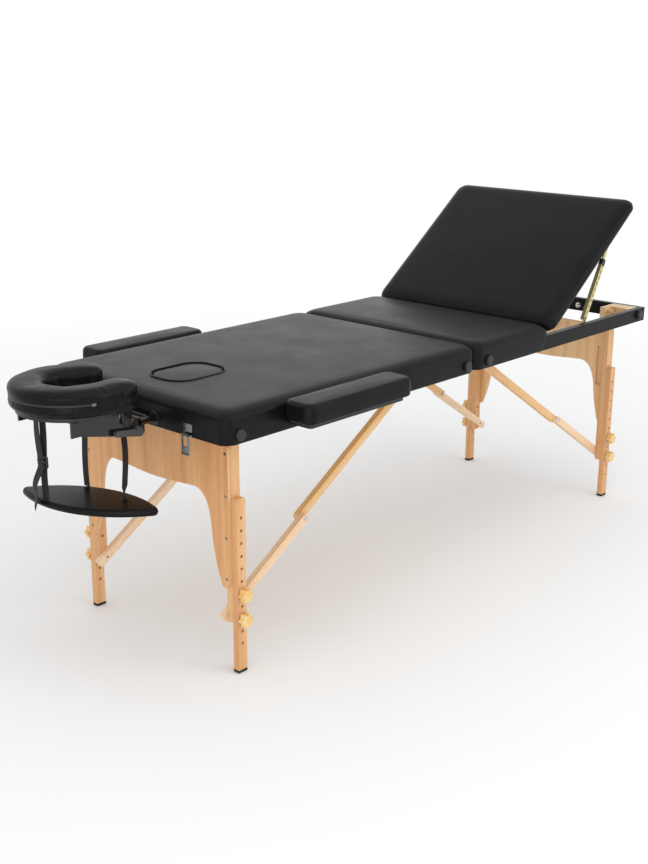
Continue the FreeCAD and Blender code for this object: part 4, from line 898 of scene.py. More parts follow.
@dataclass
class BedPanel:
    """Upholstered panel of the bed whose cover runs over foam, board edge and rail.

    Attributes:
        name: Name of the cover piece.
        node: Plain solid that it stands for.
        body: Body that it rides on.
        x0: Edge toward the head.
        x1: Edge toward the foot.
        low: Height where the cover turns under.
        end_low: Height of that turn at the edge toward the foot.
        lean0: Draw-back of the edge toward the head, in degrees.
        lean1: Draw-back of the edge toward the foot, in degrees.
        raised: Tilt about the backrest hinge, in degrees.
        hole: Opening for the face, or None.
        half_width: Half of the bed's width.
        deck: Height of the board that carries the foam.
        top: Height of the top at its rim.
        drop: How far the shoulder falls below the top.
        reach: How far the shoulder reaches in.
        corner: Corner radius in plan.
        pitch: Spacing of points on the straight sides.
        swell: Rise of the top in its middle.
        fold: Depth of the folds gathered at a corner.
        cover: Thickness of the vinyl over board and rail.
        hem: Inset and rise, from where the cover turns under, of its lower edge.
        hidden_z: Height at which the cover ends unseen, inside the board and rails.
        ease_from: Distance from the edge toward the foot at which the turn begins to change height.
        ease_over: Length over which it changes.
        tuck: Depth of the crease where foam meets board.
        tuck_high: Half height of that crease.
        full: Bulge of the sides.
        lean_over: Length over which a drawn-back edge fades out.
        lip: Rounding of the cover into the opening.
        throat: Height above the board of a loop in the opening's wall.
        axis: X and Z of the backrest hinge.
    """

    name: str
    node: str
    body: str
    x0: float
    x1: float
    low: float
    end_low: float
    lean0: float = 0.0
    lean1: float = 0.0
    raised: float = 0.0
    hole: BreathOpening | None = None

    half_width: float = 330.0
    deck: float = 645.0
    top: float = 675.0
    drop: float = 24.0
    reach: float = 36.0
    corner: float = 30.0
    pitch: float = 9.0
    swell: float = 4.0
    fold: float = 1.1
    cover: float = 0.6
    hem: tuple[tuple[float, float], ...] = ((9.0, -0.4), (2.2, -0.4), (0.7, 0.2), (0.0, 1.9))
    hidden_z: float = 642.5
    ease_from: float = 45.0
    ease_over: float = 35.0
    tuck: float = 0.5
    tuck_high: float = 5.0
    full: float = 0.8
    lean_over: float = 70.0
    lip: float = 6.0
    throat: float = 10.0
    axis: tuple[float, float] = (372.0, 644.0)

    def build(self) -> list[bpy.types.Object]:
        """Returns:
            The cover alone.
        """
        ends = Ends.RING if self.hole else Ends.CLOSED
        piece = skin(self.name, self.tilted(self.leaned(self.rows())), VINYL, self.body, ends)
        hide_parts(self.node)
        return [piece]

    def rows(self) -> np.ndarray:
        """Loops from the hidden underside, up the side, over the shoulder and across the crowned top.

        The top runs in straight lines from the shoulder loop to the opening's rim, or to the panel's
        middle.

        Returns:
            Loops of points.
        """
        rim, _ = self.outline(self.reach)
        inner = self.shrunk(rim) if self.hole is None else self.hole.toward(rim, self.lip)
        rows = self.side_rows() + self.shoulder_rows() + self.top_rows(rim, inner)
        if self.hole is None:
            under = at_height(self.shrunk(rows[0][:, :2]), self.hidden_z)
            return np.array([under] + rows)
        return np.array(rows + self.lip_rows(inner, rows[-1][:, 2]))

    def middle(self) -> np.ndarray:
        """Middle of the panel in plan."""
        return np.array([0.5 * (self.x0 + self.x1), 0.0])

    def shrunk(self, plan: np.ndarray) -> np.ndarray:
        """A loop drawn in to a small one about the panel's middle."""
        return self.middle() + NEAR_POLE * (plan - self.middle())

    def outline(self, inset: float) -> tuple[np.ndarray, np.ndarray]:
        """Plan of the cover, drawn in by an inset.

        Args:
            inset: How far the sides are drawn in.

        Returns:
            Points and outward normals.
        """
        wide = self.half_width + self.cover
        return rounded_rectangle(self.x0 - self.cover, self.x1 + self.cover, -wide, wide, self.corner,
                                 self.pitch, inset)

    def side_rows(self) -> list[np.ndarray]:
        """Loops from the underside up to the shoulder.

        The turn's height eases from one value to the other as a smooth step, 3t^2 - 2t^3. The side
        bulges as a sine of its height, less a bell-shaped crease at the board.

        Returns:
            Loops of points.
        """
        loop, normal = self.outline(0.0)
        t = np.clip((loop[:, 0] - self.x1 + self.ease_from) / self.ease_over, 0.0, 1.0)
        low = self.low + (self.end_low - self.low) * t * t * (3.0 - 2.0 * t)
        rows = [ring(loop, normal, self.hem[0][0], self.hidden_z)]
        rows += [ring(loop, normal, inset, low + rise) for inset, rise in self.hem]
        start, stop = low + self.hem[-1][1], self.top - self.drop
        for share in np.linspace(0.0, 1.0, 9)[1:-1]:
            z = start + share * (stop - start)
            crease = self.tuck * np.exp(-((z - self.deck) / self.tuck_high) ** 2)
            bulge = self.full * math.sin(math.pi * share) + share * self.pleats(normal)
            rows.append(ring(loop, normal, crease - bulge, z))
        return rows

    def shoulder_rows(self) -> list[np.ndarray]:
        """Loops over the shoulder, a quarter of an ellipse on which the corner folds fade out.

        Returns:
            Loops of points.
        """
        rows = []
        for share, fall in quarter(1.0, 12):
            plan, normal = self.outline(self.reach * share)
            rows.append(ring(plan, normal, -self.pleats(normal) * fall, self.top - self.drop * fall))
        return rows

    def top_rows(self, rim: np.ndarray, inner: np.ndarray) -> list[np.ndarray]:
        """Loops across the crowned top.

        Args:
            rim: Plan of the shoulder's upper edge.
            inner: Plan of the last loop.

        Returns:
            Loops of points.
        """
        half = np.array([0.5 * (self.x1 - self.x0), self.half_width])
        plans = [rim + (inner - rim) * share for share in np.linspace(0.0, 1.0, 26)[1:]]
        return [at_height(plan, self.top + self.swell * crown(plan, self.middle(), half)) for plan in plans]

    def lip_rows(self, inner: np.ndarray, height: np.ndarray) -> list[np.ndarray]:
        """Loops that round the cover into the opening and run down its wall.

        Args:
            inner: Plan of the last loop of the top.
            height: Height of its points.

        Returns:
            Loops of points.
        """
        out = unit(inner - self.hole.middle())
        wall = inner - self.lip * out
        rows = [at_height(wall + inset * out, height - drop) for inset, drop in quarter(self.lip, 7)[::-1]]
        return rows + [at_height(wall, z) for z in (self.deck + self.throat, self.hidden_z)]

    def pleats(self, normal: np.ndarray) -> np.ndarray:
        """Soft folds where the cover is gathered round a corner.

        Three folds stand out over the quarter turn, as one plus a cosine of twelve times the heading,
        under a square of a sine that is one in the middle of the corner and zero on the sides.

        Args:
            normal: Outward normals of the outline.

        Returns:
            How far each point stands out.
        """
        heading = np.arctan2(normal[:, 1], normal[:, 0])
        return 0.5 * self.fold * np.sin(2.0 * heading) ** 2 * (1.0 + np.cos(12.0 * heading + np.pi))

    def leaned(self, rows: np.ndarray) -> np.ndarray:
        """Shear the ends back above the board, fading out along the panel, so that they clear at the hinge.

        Args:
            rows: Loops of points.

        Returns:
            Loops after the shear.
        """
        out = rows.copy()
        rise = np.clip(rows[..., 2] - self.deck, 0.0, None)
        for edge, lean, sign in ((self.x0, self.lean0, 1.0), (self.x1, self.lean1, -1.0)):
            fade = np.clip(1.0 - np.abs(rows[..., 0] - edge) / self.lean_over, 0.0, 1.0)
            out[..., 0] += sign * fade * rise * math.tan(math.radians(lean))
        return out

    def tilted(self, rows: np.ndarray) -> np.ndarray:
        """Turn the panel about the backrest hinge.

        Args:
            rows: Loops of points.

        Returns:
            Loops after the turn.
        """
        x, z = rotated(rows[..., 0] - self.axis[0], rows[..., 2] - self.axis[1], self.raised)
        return np.stack([self.axis[0] + x, rows[..., 1], self.axis[1] + z], axis=-1)


@dataclass
class BreathPlug:
    """Padded plug in the breath opening, with the piped rim of the cover around it.

    Attributes:
        opening: Opening that the plug fills.
        gap: Clearance round the plug.
        low: Height of the plug's underside.
        top: Height of its top at the rim.
        upper_edge: Rounding of its upper edge.
        lower_edge: Rounding of its lower edge.
        swell: Rise of its top in the middle.
        cord: Half thickness of the piping.
        cord_out: Distance of the piping's middle from the opening's edge.
        cord_z: Height of the piping's middle.
    """

    opening: BreathOpening = BreathOpening()
    gap: float = 1.0
    low: float = 645.2
    top: float = 677.0
    upper_edge: float = 8.0
    lower_edge: float = 3.0
    swell: float = 2.4
    cord: float = 2.4
    cord_out: float = 2.6
    cord_z: float = 677.4

    def build(self) -> list[bpy.types.Object]:
        """Make the plug and the piping.

        Returns:
            Both pieces.
        """
        loop, normal = self.opening.loop(-self.gap)
        form = pillow(loop, normal, self.low, self.top, self.upper_edge, self.lower_edge, self.swell, 0.0)
        plug = skin("breath_plug_cover", form, VINYL, "plug")
        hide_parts("breath_plug")
        path = at_height(self.opening.loop(self.cord_out)[0], self.cord_z)
        form = sweep(path, rounded_section(self.cord, self.cord, 2.0, 14), Z_AXIS, True)
        piping = skin("breath_opening_piping", form, VINYL, "head_half", Ends.RING)
        return [plug, piping]


@dataclass
class HeadrestCushion:
    """Horseshoe face cushion with a zipped side band and a short upright seam.

    Attributes:
        arc_x: X of the middle of the outer bend.
        tip_x: X of the two tips.
        half: Half width over the bend.
        band: Width of the padded band.
        low: Height of the board that carries it.
        seat: Clearance over that board.
        thick: Thickness.
        toe: Angle by which the arms close toward their tips, in degrees.
        yaw: How far the cushion is turned on its board, clockwise from above, in degrees.
        upper_power: Squareness of the upper half of a section.
        lower_power: Squareness of the lower half.
        tip_power: How slowly the thickness falls off toward a tip.
        nip: Depth of the nip along the zipped band, as a share of the half width.
        nip_high: Half height of the nip, as a share of the half thickness.
        ripple: Unevenness round a section, as a share of the half width.
        dip: Depth of the dip along the top, as a share of the half thickness.
        dip_wide: Half width of the dip, as a share of the half width.
        wave: Height of each slow sine along the top.
        held_under: Heights above the board up to which the hold is full and at which it has faded.
        held_zip: The same above and below the zip.
        held_in: How far inside the outer edge the zip's hold reaches.
        zip_in: How far the zip lies inside the outer edge.
        zip_gap: Distance of the zip from the seam, in degrees round the bend.
        zip_end: Place of the zip's far end round the bend, in degrees.
        slider_out: How far the slider stands out from the zip.
        slider_turn: Length of the slider, in degrees round the bend.
        seam_turn: Place of the upright seam round the bend, in degrees.
        seam_high: Half height of the seam, as a share of the half thickness.
        seam_in: Reach of the seam, as a share of the half width.
        body: Body that it rides on.
    """

    arc_x: float = -1092.0
    tip_x: float = -978.0
    half: float = 140.0
    band: float = 82.0
    low: float = 669.0
    seat: float = 0.3
    thick: float = 60.0
    toe: float = 10.0
    yaw: float = 12.0
    upper_power: float = 3.6
    lower_power: float = 5.5
    tip_power: float = 0.4
    nip: float = 0.03
    nip_high: float = 0.10
    ripple: float = 0.006
    dip: float = 0.05
    dip_wide: float = 0.4
    wave: float = 0.5
    held_under: tuple[float, float] = (4.0, 9.0)
    held_zip: tuple[float, float] = (3.5, 6.5)
    held_in: float = 6.0
    zip_in: float = 1.1
    zip_gap: float = 2.0
    zip_end: float = -268.0
    slider_out: float = 0.7
    slider_turn: float = 4.0
    seam_turn: float = -103.0
    seam_high: float = 0.84
    seam_in: float = 0.985
    body: str = "headrest_cushion"

    def build(self) -> list[bpy.types.Object]:
        """Make the cushion, its zip, the slider and the seam.

        Returns:
            All four pieces.
        """
        cushion = skin("headrest_cushion_cover", self.turned(self.rows()), VINYL, self.body)
        Inflation().run(cushion, self.held)
        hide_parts("headrest_pad")
        return [cushion] + self.zipper() + [self.seam()]

    def middle_z(self) -> float:
        """Height of the cushion's middle."""
        return self.low + self.seat + self.thick / 2.0

    def bend(self, radius: float, start: float, stop: float, count: int) -> np.ndarray:
        """Points in plan on a circle about the middle of the bend.

        Args:
            radius: Radius of the circle.
            start: First angle, in degrees.
            stop: Last angle, in degrees.
            count: Number of points.

        Returns:
            Points along the arc.
        """
        turn = np.radians(np.linspace(start, stop, count))
        return np.column_stack([self.arc_x + radius * np.cos(turn), radius * np.sin(turn)])

    def turned(self, rows: np.ndarray) -> np.ndarray:
        """Turn the cushion about the middle of its bend.

        Args:
            rows: Loops of points.

        Returns:
            Loops after the turn.
        """
        x, y = rotated(rows[..., 0] - self.arc_x, rows[..., 1], -self.yaw)
        return np.stack([self.arc_x + x, y, rows[..., 2]], axis=-1)

    def middle_line(self, straight: int, arc: int) -> np.ndarray:
        """Centre line from the near tip, round the outer bend, to the far tip.

        Args:
            straight: Points along each arm.
            arc: Points round the bend.

        Returns:
            Points in plan.
        """
        toe = math.radians(self.toe)
        bend = self.bend(self.half - self.band / 2.0, self.toe - 90.0, -270.0 - self.toe, arc)
        along = np.array([math.cos(toe), math.sin(toe)])
        length = (self.tip_x - self.band / 2.0 - bend[0, 0]) / along[0]
        near = bend[0] + np.linspace(length, 0.0, straight)[:-1, None] * along
        return np.vstack([near, bend, near[::-1] * (1.0, -1.0)])

    def section(self) -> tuple[np.ndarray, np.ndarray]:
        """Width and height, from -1 to 1, round a section of the cushion.

        A section is a squarish oval, fuller below, with a shallow bell-shaped nip at half height on its
        sides, where the zipped band is sewn in, and a faint dip along the middle of its top.

        Returns:
            Widths and heights.
        """
        turn = np.linspace(0.0, 2.0 * np.pi, 64, endpoint=False)
        upper = np.sin(turn) > 0.0
        power = np.where(upper, self.upper_power, self.lower_power)
        across, up = squared_off(np.cos(turn), power), squared_off(np.sin(turn), power)
        across *= 1.0 - self.nip * np.exp(-(up / self.nip_high) ** 2) + self.ripple * np.sin(9.0 * turn + 0.7)
        up -= np.where(upper, self.dip * np.exp(-(across / self.dip_wide) ** 2), 0.0)
        return across, up

    def rows(self) -> np.ndarray:
        """Sections along the centre line, closed over each tip by a half round.

        The top is faintly uneven along the line: two slow sines raise and lower it.

        Returns:
            Loops of points.
        """
        core = self.middle_line(10, 72)
        along = unit(np.gradient(core, axis=0))
        cap = np.cos(np.linspace(0.02, np.pi / 2.0, 10))[:-1]
        near = core[0] - self.band / 2.0 * cap[:, None] * along[0]
        line = np.vstack([near, core, near[::-1] * (1.0, -1.0)])
        along = np.vstack([np.repeat(along[:1], len(cap), 0), along, np.repeat(along[-1:], len(cap), 0)])
        narrow = np.sqrt(1.0 - cap ** 2)
        size = np.concatenate([narrow, np.ones(len(core)), narrow[::-1]])[:, None]
        across, up = self.section()
        step = np.arange(len(line))[:, None]
        wave = self.wave * (np.sin(step / 3.1) + np.sin(step / 5.3 + 1.0))
        wide = size * self.band / 2.0 * across
        high = size ** self.tip_power * self.thick / 2.0 * up + wave * np.clip(up, 0.0, None)
        side = np.column_stack([along[:, 1], -along[:, 0]])
        plan = line[:, None, :] + wide[:, :, None] * side[:, None, :]
        return np.concatenate([plan, (self.middle_z() + high)[:, :, None]], axis=2)

    def held(self, points: np.ndarray) -> np.ndarray:
        """Hold the underside on its board and the sewn line of the zip round the outer bend.

        Args:
            points: Points of the cover.

        Returns:
            Full hold near the underside and the zip, fading to none over a few millimetres.
        """
        height = points[:, 2] - self.low
        outside = np.hypot(points[:, 0] - self.arc_x, points[:, 1]) > self.half - self.held_in
        under = np.interp(height, self.held_under, (1.0, 0.0))
        sewn = np.interp(np.abs(height - self.thick / 2.0), self.held_zip, (1.0, 0.0))
        return np.maximum(under, sewn * outside)

    def zipper(self) -> list[bpy.types.Object]:
        """Zip round the outer side and its slider, both arcs at half height.

        Returns:
            Both pieces.
        """
        out, start = self.half - self.zip_in, self.seam_turn - self.zip_gap
        path = at_height(self.bend(out, start, self.zip_end, 70), self.middle_z())
        form = sweep(path, rounded_section(2.4, 0.9, 3.0, 16), Z_AXIS)
        coil = skin("headrest_zip", form, PLASTIC, self.body)
        arc = self.bend(out + self.slider_out, start, start - self.slider_turn, 4)
        path = at_height(arc, self.middle_z())
        form = sweep(path, rounded_section(3.2, 1.7, 4.0, 16), Z_AXIS)
        slider = skin("headrest_zip_slider", form, CHROME, self.body)
        return [coil, slider]

    def seam(self) -> bpy.types.Object:
        """Upright seam where the zipped band ends, on the outer side of the squarish section.

        Returns:
            The seam.
        """
        rise = np.linspace(-self.seam_high, self.seam_high, 25)
        bulge = (1.0 - np.abs(rise) ** self.upper_power) ** (1.0 / self.upper_power)
        reach = self.half + (self.seam_in * bulge - 1.0) * self.band / 2.0
        turn = math.radians(self.seam_turn)
        plan = np.array([self.arc_x, 0.0]) + reach[:, None] * np.array([math.cos(turn), math.sin(turn)])
        path = at_height(plan, self.middle_z() + rise * self.thick / 2.0)
        tangent = np.array([-math.sin(turn), math.cos(turn), 0.0])
        form = sweep(path, rounded_section(1.2, 1.0, 2.0, 12), tangent)
        return skin("headrest_band_seam", form, VINYL, self.body)


@dataclass
class Sling:
    """Lens-shaped arm shelf hung on webbing, with the ladder buckle that sets its height.

    Attributes:
        shelf_x: X of the shelf's middle.
        shelf_y: Y of the shelf's middle.
        half: Half length of the shelf.
        half_wide: Half width of the shelf.
        thick: Thickness of the shelf.
        top: Height of its top at the rim.
        yaw: Turn of the shelf in plan, in degrees.
        tip: Rounding of its two tips in plan.
        upper_edge: Rounding of its upper edge.
        lower_edge: Rounding of its lower edge.
        swell: Rise of its top in the middle.
        full: Bulge of its sides.
        strap_top: Height of the straps' upper ends.
        strap_half: Half thickness of a strap.
        front: X, Y and width of the front strap.
        back: X, Y and width of a back strap.
        seat: Clearance of the straps' lower ends over the shelf's rim.
        sway: How far a strap strays from plumb.
        strand_slack: Distance of the returning strand from the front strap, and what is added midway.
        strand_aside: Shift of the returning strand along Y at its top and at the buckle.
        strand_twist: Twist of the returning strand at its top, in degrees.
        near_twist: Twist of the near back strap in its middle, in degrees.
        near_bow: How far the near back strap bows out.
        buckle_z: Height of the buckle's middle.
        buckle_half: Half height of the buckle.
        buckle_rim: How far the buckle stands out beyond the strap on each side.
        frame_out: Distance of the buckle's frame in front of the strap.
        bar_out: Distance of its bar in front of the strap.
        tail: How far the loose end hangs down.
        tail_start: Distance of its start in front of the strap and below the buckle's middle.
        tail_curl: How far it curls out.
        tail_drift: How far its lower end has drifted forward and along Y.
        tail_twist: Twist of its lower end, in degrees.
        hung_on: Body of the front strap and its buckle.
    """

    shelf_x: float = -1056.0
    shelf_y: float = 6.0
    half: float = 188.0
    half_wide: float = 72.0
    thick: float = 18.0
    top: float = 432.0
    yaw: float = 20.0
    tip: float = 12.0
    upper_edge: float = 7.0
    lower_edge: float = 6.0
    swell: float = 1.2
    full: float = 0.8
    strap_top: float = 659.4
    strap_half: float = 0.9
    front: tuple[float, float, float] = (-1136.0, 60.0, 25.0)
    back: tuple[float, float, float] = (-1012.0, 71.0, 21.0)
    seat: float = 0.6
    sway: float = 2.0
    strand_slack: tuple[float, float] = (4.0, 5.0)
    strand_aside: tuple[float, float] = (13.0, 4.0)
    strand_twist: float = 14.0
    near_twist: float = 75.0
    near_bow: float = 9.0
    buckle_z: float = 528.0
    buckle_half: float = 13.0
    buckle_rim: float = 4.0
    frame_out: float = 3.4
    bar_out: float = 5.4
    tail: float = 112.0
    tail_start: tuple[float, float] = (6.0, 4.0)
    tail_curl: float = 11.0
    tail_drift: tuple[float, float] = (13.0, 20.0)
    tail_twist: float = 30.0
    hung_on: str = "front_strap"

    def build(self) -> list[bpy.types.Object]:
        """Make the shelf, the straps, the buckle and the loose tail.

        Returns:
            All pieces.
        """
        loop, normal = self.lens()
        form = pillow(loop, normal, self.top - self.thick, self.top, self.upper_edge, self.lower_edge,
                      self.swell, self.full)
        shelf = skin("arm_shelf_cover", form, VINYL, "shelf")
        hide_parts("arm_shelf")
        return [shelf] + self.front_straps() + self.back_straps() + self.buckle() + [self.loose_end()]

    def lens(self) -> tuple[np.ndarray, np.ndarray]:
        """Outline of two equal arcs that meet in round tips, turned by the yaw.

        Both arcs pass through the full width and, before rounding, the full length. A tip's circle
        touches both arcs from inside.

        Returns:
            Points and outward normals.
        """
        radius = (self.half ** 2 + self.half_wide ** 2) / (2.0 * self.half_wide)
        shift = radius - self.half_wide
        open_angle = math.acos(shift / (radius - self.tip))
        tip_y = math.sqrt((radius - self.tip) ** 2 - shift ** 2)
        arc = np.linspace(-open_angle, open_angle, 70)
        fan = np.linspace(open_angle, math.pi - open_angle, 14)[1:-1]
        angle = np.concatenate([arc, fan, arc + math.pi, fan + math.pi])
        share = [len(arc), len(fan), len(arc), len(fan)]
        size = np.repeat([radius, self.tip, radius, self.tip], share)
        x = np.repeat([-shift, 0.0, shift, 0.0], share) + size * np.cos(angle)
        y = np.repeat([0.0, tip_y, 0.0, -tip_y], share) + size * np.sin(angle)
        points = np.column_stack(rotated(x, y, self.yaw)) + (self.shelf_x, self.shelf_y)
        return points, np.column_stack(rotated(np.cos(angle), np.sin(angle), self.yaw))

    def ribbon(self, name: str, path: np.ndarray, twist: np.ndarray, width: float,
               body: str) -> bpy.types.Object:
        """Flat strap along a path.

        Args:
            name: Name of the piece.
            path: Points along the strap's middle.
            twist: Turn of the width direction from Y at each point, in degrees.
            width: Width of the strap.
            body: Body that it rides on.

        Returns:
            The strap.
        """
        a = np.radians(twist)
        wide = np.column_stack([np.sin(a), np.cos(a), np.zeros(len(a))])
        section = rounded_section(width / 2.0, self.strap_half, 6.0, 24)
        return skin(name, sweep(path, section, wide), STRAP, body)

    def plumb(self, x: float, y: float, t: np.ndarray) -> np.ndarray:
        """Path of a strap from its upper end to the shelf, straying along X as one sine.

        Args:
            x: X of its ends.
            y: Y of its ends.
            t: Share of the way down, for each point.

        Returns:
            Points of the path.
        """
        z = self.strap_top + (self.top + self.seat - self.strap_top) * t
        return np.column_stack([x + self.sway * np.sin(2.0 * np.pi * t), np.full(len(t), y), z])

    def front_straps(self) -> list[bpy.types.Object]:
        """Front strap, and the strand that returns to its buckle with a little slack.

        Returns:
            Both pieces.
        """
        t = np.linspace(0.0, 1.0, 60)
        x, y, width = self.front
        front = self.ribbon("sling_front_webbing", self.plumb(x, y, t), 0.0 * t, width, self.hung_on)
        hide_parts("sling_front_strap")
        slack = self.strand_slack[0] + self.strand_slack[1] * np.sin(np.pi * t)
        aside = self.strand_aside[0] + (self.strand_aside[1] - self.strand_aside[0]) * t
        z = self.strap_top + (self.buckle_z - self.strap_top) * t
        path = np.column_stack([x - slack, y + aside, z])
        strand = self.ribbon("sling_front_return", path, self.strand_twist * (1.0 - t), width, self.hung_on)
        return [front, strand]

    def back_straps(self) -> list[bpy.types.Object]:
        """Two back straps: the far one hangs flat, the near one is twisted and bows out.

        Returns:
            Both pieces.
        """
        t = np.linspace(0.0, 1.0, 60)
        x, y, width = self.back
        far = self.ribbon("sling_back_webbing_far", self.plumb(x, y, t), 0.0 * t, width, "back_straps")
        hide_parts("sling_back_straps")
        twist = self.near_twist * np.clip(np.sin(np.pi * t) * 2.2, 0.0, 1.0)
        path = self.plumb(x, -y, t)
        path[:, 0] = x
        path[:, 1] -= self.near_bow * np.sin(np.pi * t) ** 2
        near = self.ribbon("sling_back_webbing_near", path, twist, width, "back_straps")
        return [far, near]

    def buckle(self) -> list[bpy.types.Object]:
        """Ladder buckle on the front strap: a rounded frame and the bar across it.

        Returns:
            Both pieces.
        """
        x, y, width = self.front
        low, high = y - width / 2.0 - self.buckle_rim, y + width / 2.0 + self.buckle_rim
        loop, _ = rounded_rectangle(low, high, self.buckle_z - self.buckle_half,
                                    self.buckle_z + self.buckle_half, 4.0, 4.0)
        path = np.column_stack([np.full(len(loop), x - self.frame_out), loop])
        form = sweep(path, rounded_section(2.6, 2.2, 3.5, 14), X_AXIS, True)
        frame = skin("sling_buckle_frame", form, PLASTIC, self.hung_on, Ends.RING)
        path = np.linspace((x - self.bar_out, low, self.buckle_z), (x - self.bar_out, high, self.buckle_z), 6)
        form = sweep(path, rounded_section(2.4, 2.0, 3.0, 14), X_AXIS)
        bar = skin("sling_buckle_bar", form, PLASTIC, self.hung_on)
        return [frame, bar]

    def loose_end(self) -> bpy.types.Object:
        """Strap's loose end, which curls out of the buckle as a squared sine and then drifts away.

        Returns:
            The loose end.
        """
        t = np.linspace(0.0, 1.0, 50)
        x, y, width = self.front
        curl = self.tail_curl * np.sin(np.pi * np.clip(1.15 * t, 0.0, 1.0)) ** 2
        out = self.tail_start[0] + curl + self.tail_drift[0] * t
        z = self.buckle_z - self.tail_start[1] - self.tail * t
        path = np.column_stack([x - out, y + self.tail_drift[1] * t, z])
        return self.ribbon("sling_strap_tail", path, self.tail_twist * t, width, self.hung_on)


@dataclass
class ArmSupport:
    """Padded arm support that plugs into the side of the head half.

    Attributes:
        side: Side of the table.
        x0: End toward the head.
        x1: End toward the foot.
        inner: Distance of its inner side from the table's middle.
        outer: Distance of its outer side.
        low: Height of the cushion's underside.
        top: Height of its top at the rim.
        corner: Corner radius in plan.
        upper_edge: Rounding of the upper edge.
        lower_edge: Rounding of the lower edge.
        swell: Rise of the top in its middle.
        full: Bulge of the sides.
    """

    side: Side
    x0: float = -758.0
    x1: float = -386.0
    inner: float = 332.0
    outer: float = 421.0
    low: float = 626.3
    top: float = 674.5
    corner: float = 24.0
    upper_edge: float = 12.0
    lower_edge: float = 5.0
    swell: float = 2.4
    full: float = 0.9

    def build(self) -> list[bpy.types.Object]:
        """Returns:
            The cushion alone.
        """
        word = self.side.name.lower()
        y0, y1 = sorted((self.side.value * self.inner, self.side.value * self.outer))
        loop, normal = rounded_rectangle(self.x0, self.x1, y0, y1, self.corner, 8.0)
        form = pillow(loop, normal, self.low, self.top, self.upper_edge, self.lower_edge, self.swell,
                      self.full)
        piece = skin("armrest_cushion_" + word, form, VINYL, "armrest_" + word)
        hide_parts("armrest_pad_" + word)
        return [piece]


@dataclass
class BraceBolts:
    """Countersunk bolt heads and nuts at the brace knees of one end.

    Attributes:
        end: End of the table.
        knee: X, counted from the centre fold, and Z of the knee.
        low_face: Y of the lower link's outer face.
        high_face: Y of the upper link's inner face.
        head: Profile of a flush head with its socket, as distance outward and radius.
        nut: Profile of a six-sided nut.
    """

    end: TableEnd
    knee: tuple[float, float] = (586.5, 313.7)
    low_face: float = 245.7
    high_face: float = 213.4
    head: tuple[tuple[float, float], ...] = ((-1.0, 6.6), (0.02, 6.6), (0.15, 6.2), (0.15, 2.6), (-0.4, 2.4),
                                             (-0.4, 0.4))
    nut: tuple[tuple[float, float], ...] = ((0.0, 6.4), (3.8, 6.4), (4.2, 5.6))

    def build(self) -> list[bpy.types.Object]:
        """Make the heads and nuts on both sides of the table.

        Returns:
            All pieces.
        """
        word, x = self.end.name.lower(), self.end.value * self.knee[0]
        made = []
        for side in Side:
            y, tag = side.value, word + "_" + side.name.lower()
            form = lathe((x, y * self.low_face, self.knee[1]), (0.0, y, 0.0), self.head)
            made.append(skin("knee_bolt_head_" + tag, form, ZINC, word + "_links_lower"))
            form = lathe((x, y * self.high_face, self.knee[1]), (0.0, -y, 0.0), self.nut, 6)
            made.append(skin("knee_nut_" + tag, form, ZINC, word + "_links_upper", crease=25.0))
        return made


@dataclass
class StayHeads:
    """Black ratchet heads where the stays' bars enter their channels.

    Attributes:
        pivot: X and Z of the stays' lower pivots.
        angle: Slope of the stays at rest, in degrees.
        y: Distance of a stay from the table's middle.
        start: Distance of a head's lower end from the pivot.
        stop: Distance of its upper end.
        chamfer: Length of the taper at each end.
        taper: Size of an end, as a share of the full section.
        half_wide: Half width along Y.
        half_high: Half height across the stay.
    """

    pivot: tuple[float, float] = (600.0, 630.0)
    angle: float = 61.5
    y: float = 295.0
    start: float = 193.0
    stop: float = 214.0
    chamfer: float = 1.5
    taper: float = 0.86
    half_wide: float = 7.4
    half_high: float = 8.1

    def build(self) -> list[bpy.types.Object]:
        """Make one head for each side.

        Returns:
            Both heads.
        """
        a = math.radians(self.angle)
        along = np.array([math.cos(a), 0.0, math.sin(a)])
        steps = np.array([self.start, self.start + self.chamfer, self.stop - self.chamfer, self.stop])
        grow = np.array([self.taper, 1.0, 1.0, self.taper])
        section = rounded_section(self.half_wide, self.half_high, 6.0) * grow[:, None, None]
        made = []
        for side in Side:
            base = np.array([self.pivot[0], side.value * self.y, self.pivot[1]])
            form = sweep(base + steps[:, None] * along, section, Y_AXIS)
            made.append(skin("stay_ratchet_head_" + side.name.lower(), form, PLASTIC, "stay_channel_pair"))
        return made


@dataclass
class RailFittings:
    """Washers with screws on the inner face of the foot end rail.

    Attributes:
        rail_face: X of the rail's inner face.
        height: Height of the screws.
        places: Y of each screw.
        profile: Washer and screw head, as distance from the rail and radius.
    """

    rail_face: float = 912.0
    height: float = 616.0
    places: tuple[float, ...] = (-95.0, 95.0)
    profile: tuple[tuple[float, float], ...] = ((0.0, 9.0), (1.2, 9.0), (1.3, 5.0), (2.6, 4.6), (3.6, 2.6),
                                                (3.8, 0.8))

    def build(self) -> list[bpy.types.Object]:
        """Make the washers with their screw heads.

        Returns:
            All pieces.
        """
        made = []
        for number, y in enumerate(self.places, start=1):
            form = lathe((self.rail_face, y, self.height), (-1.0, 0.0, 0.0), self.profile)
            made.append(skin("end_rail_screw_%d" % number, form, ZINC, "foot_half"))
        return made


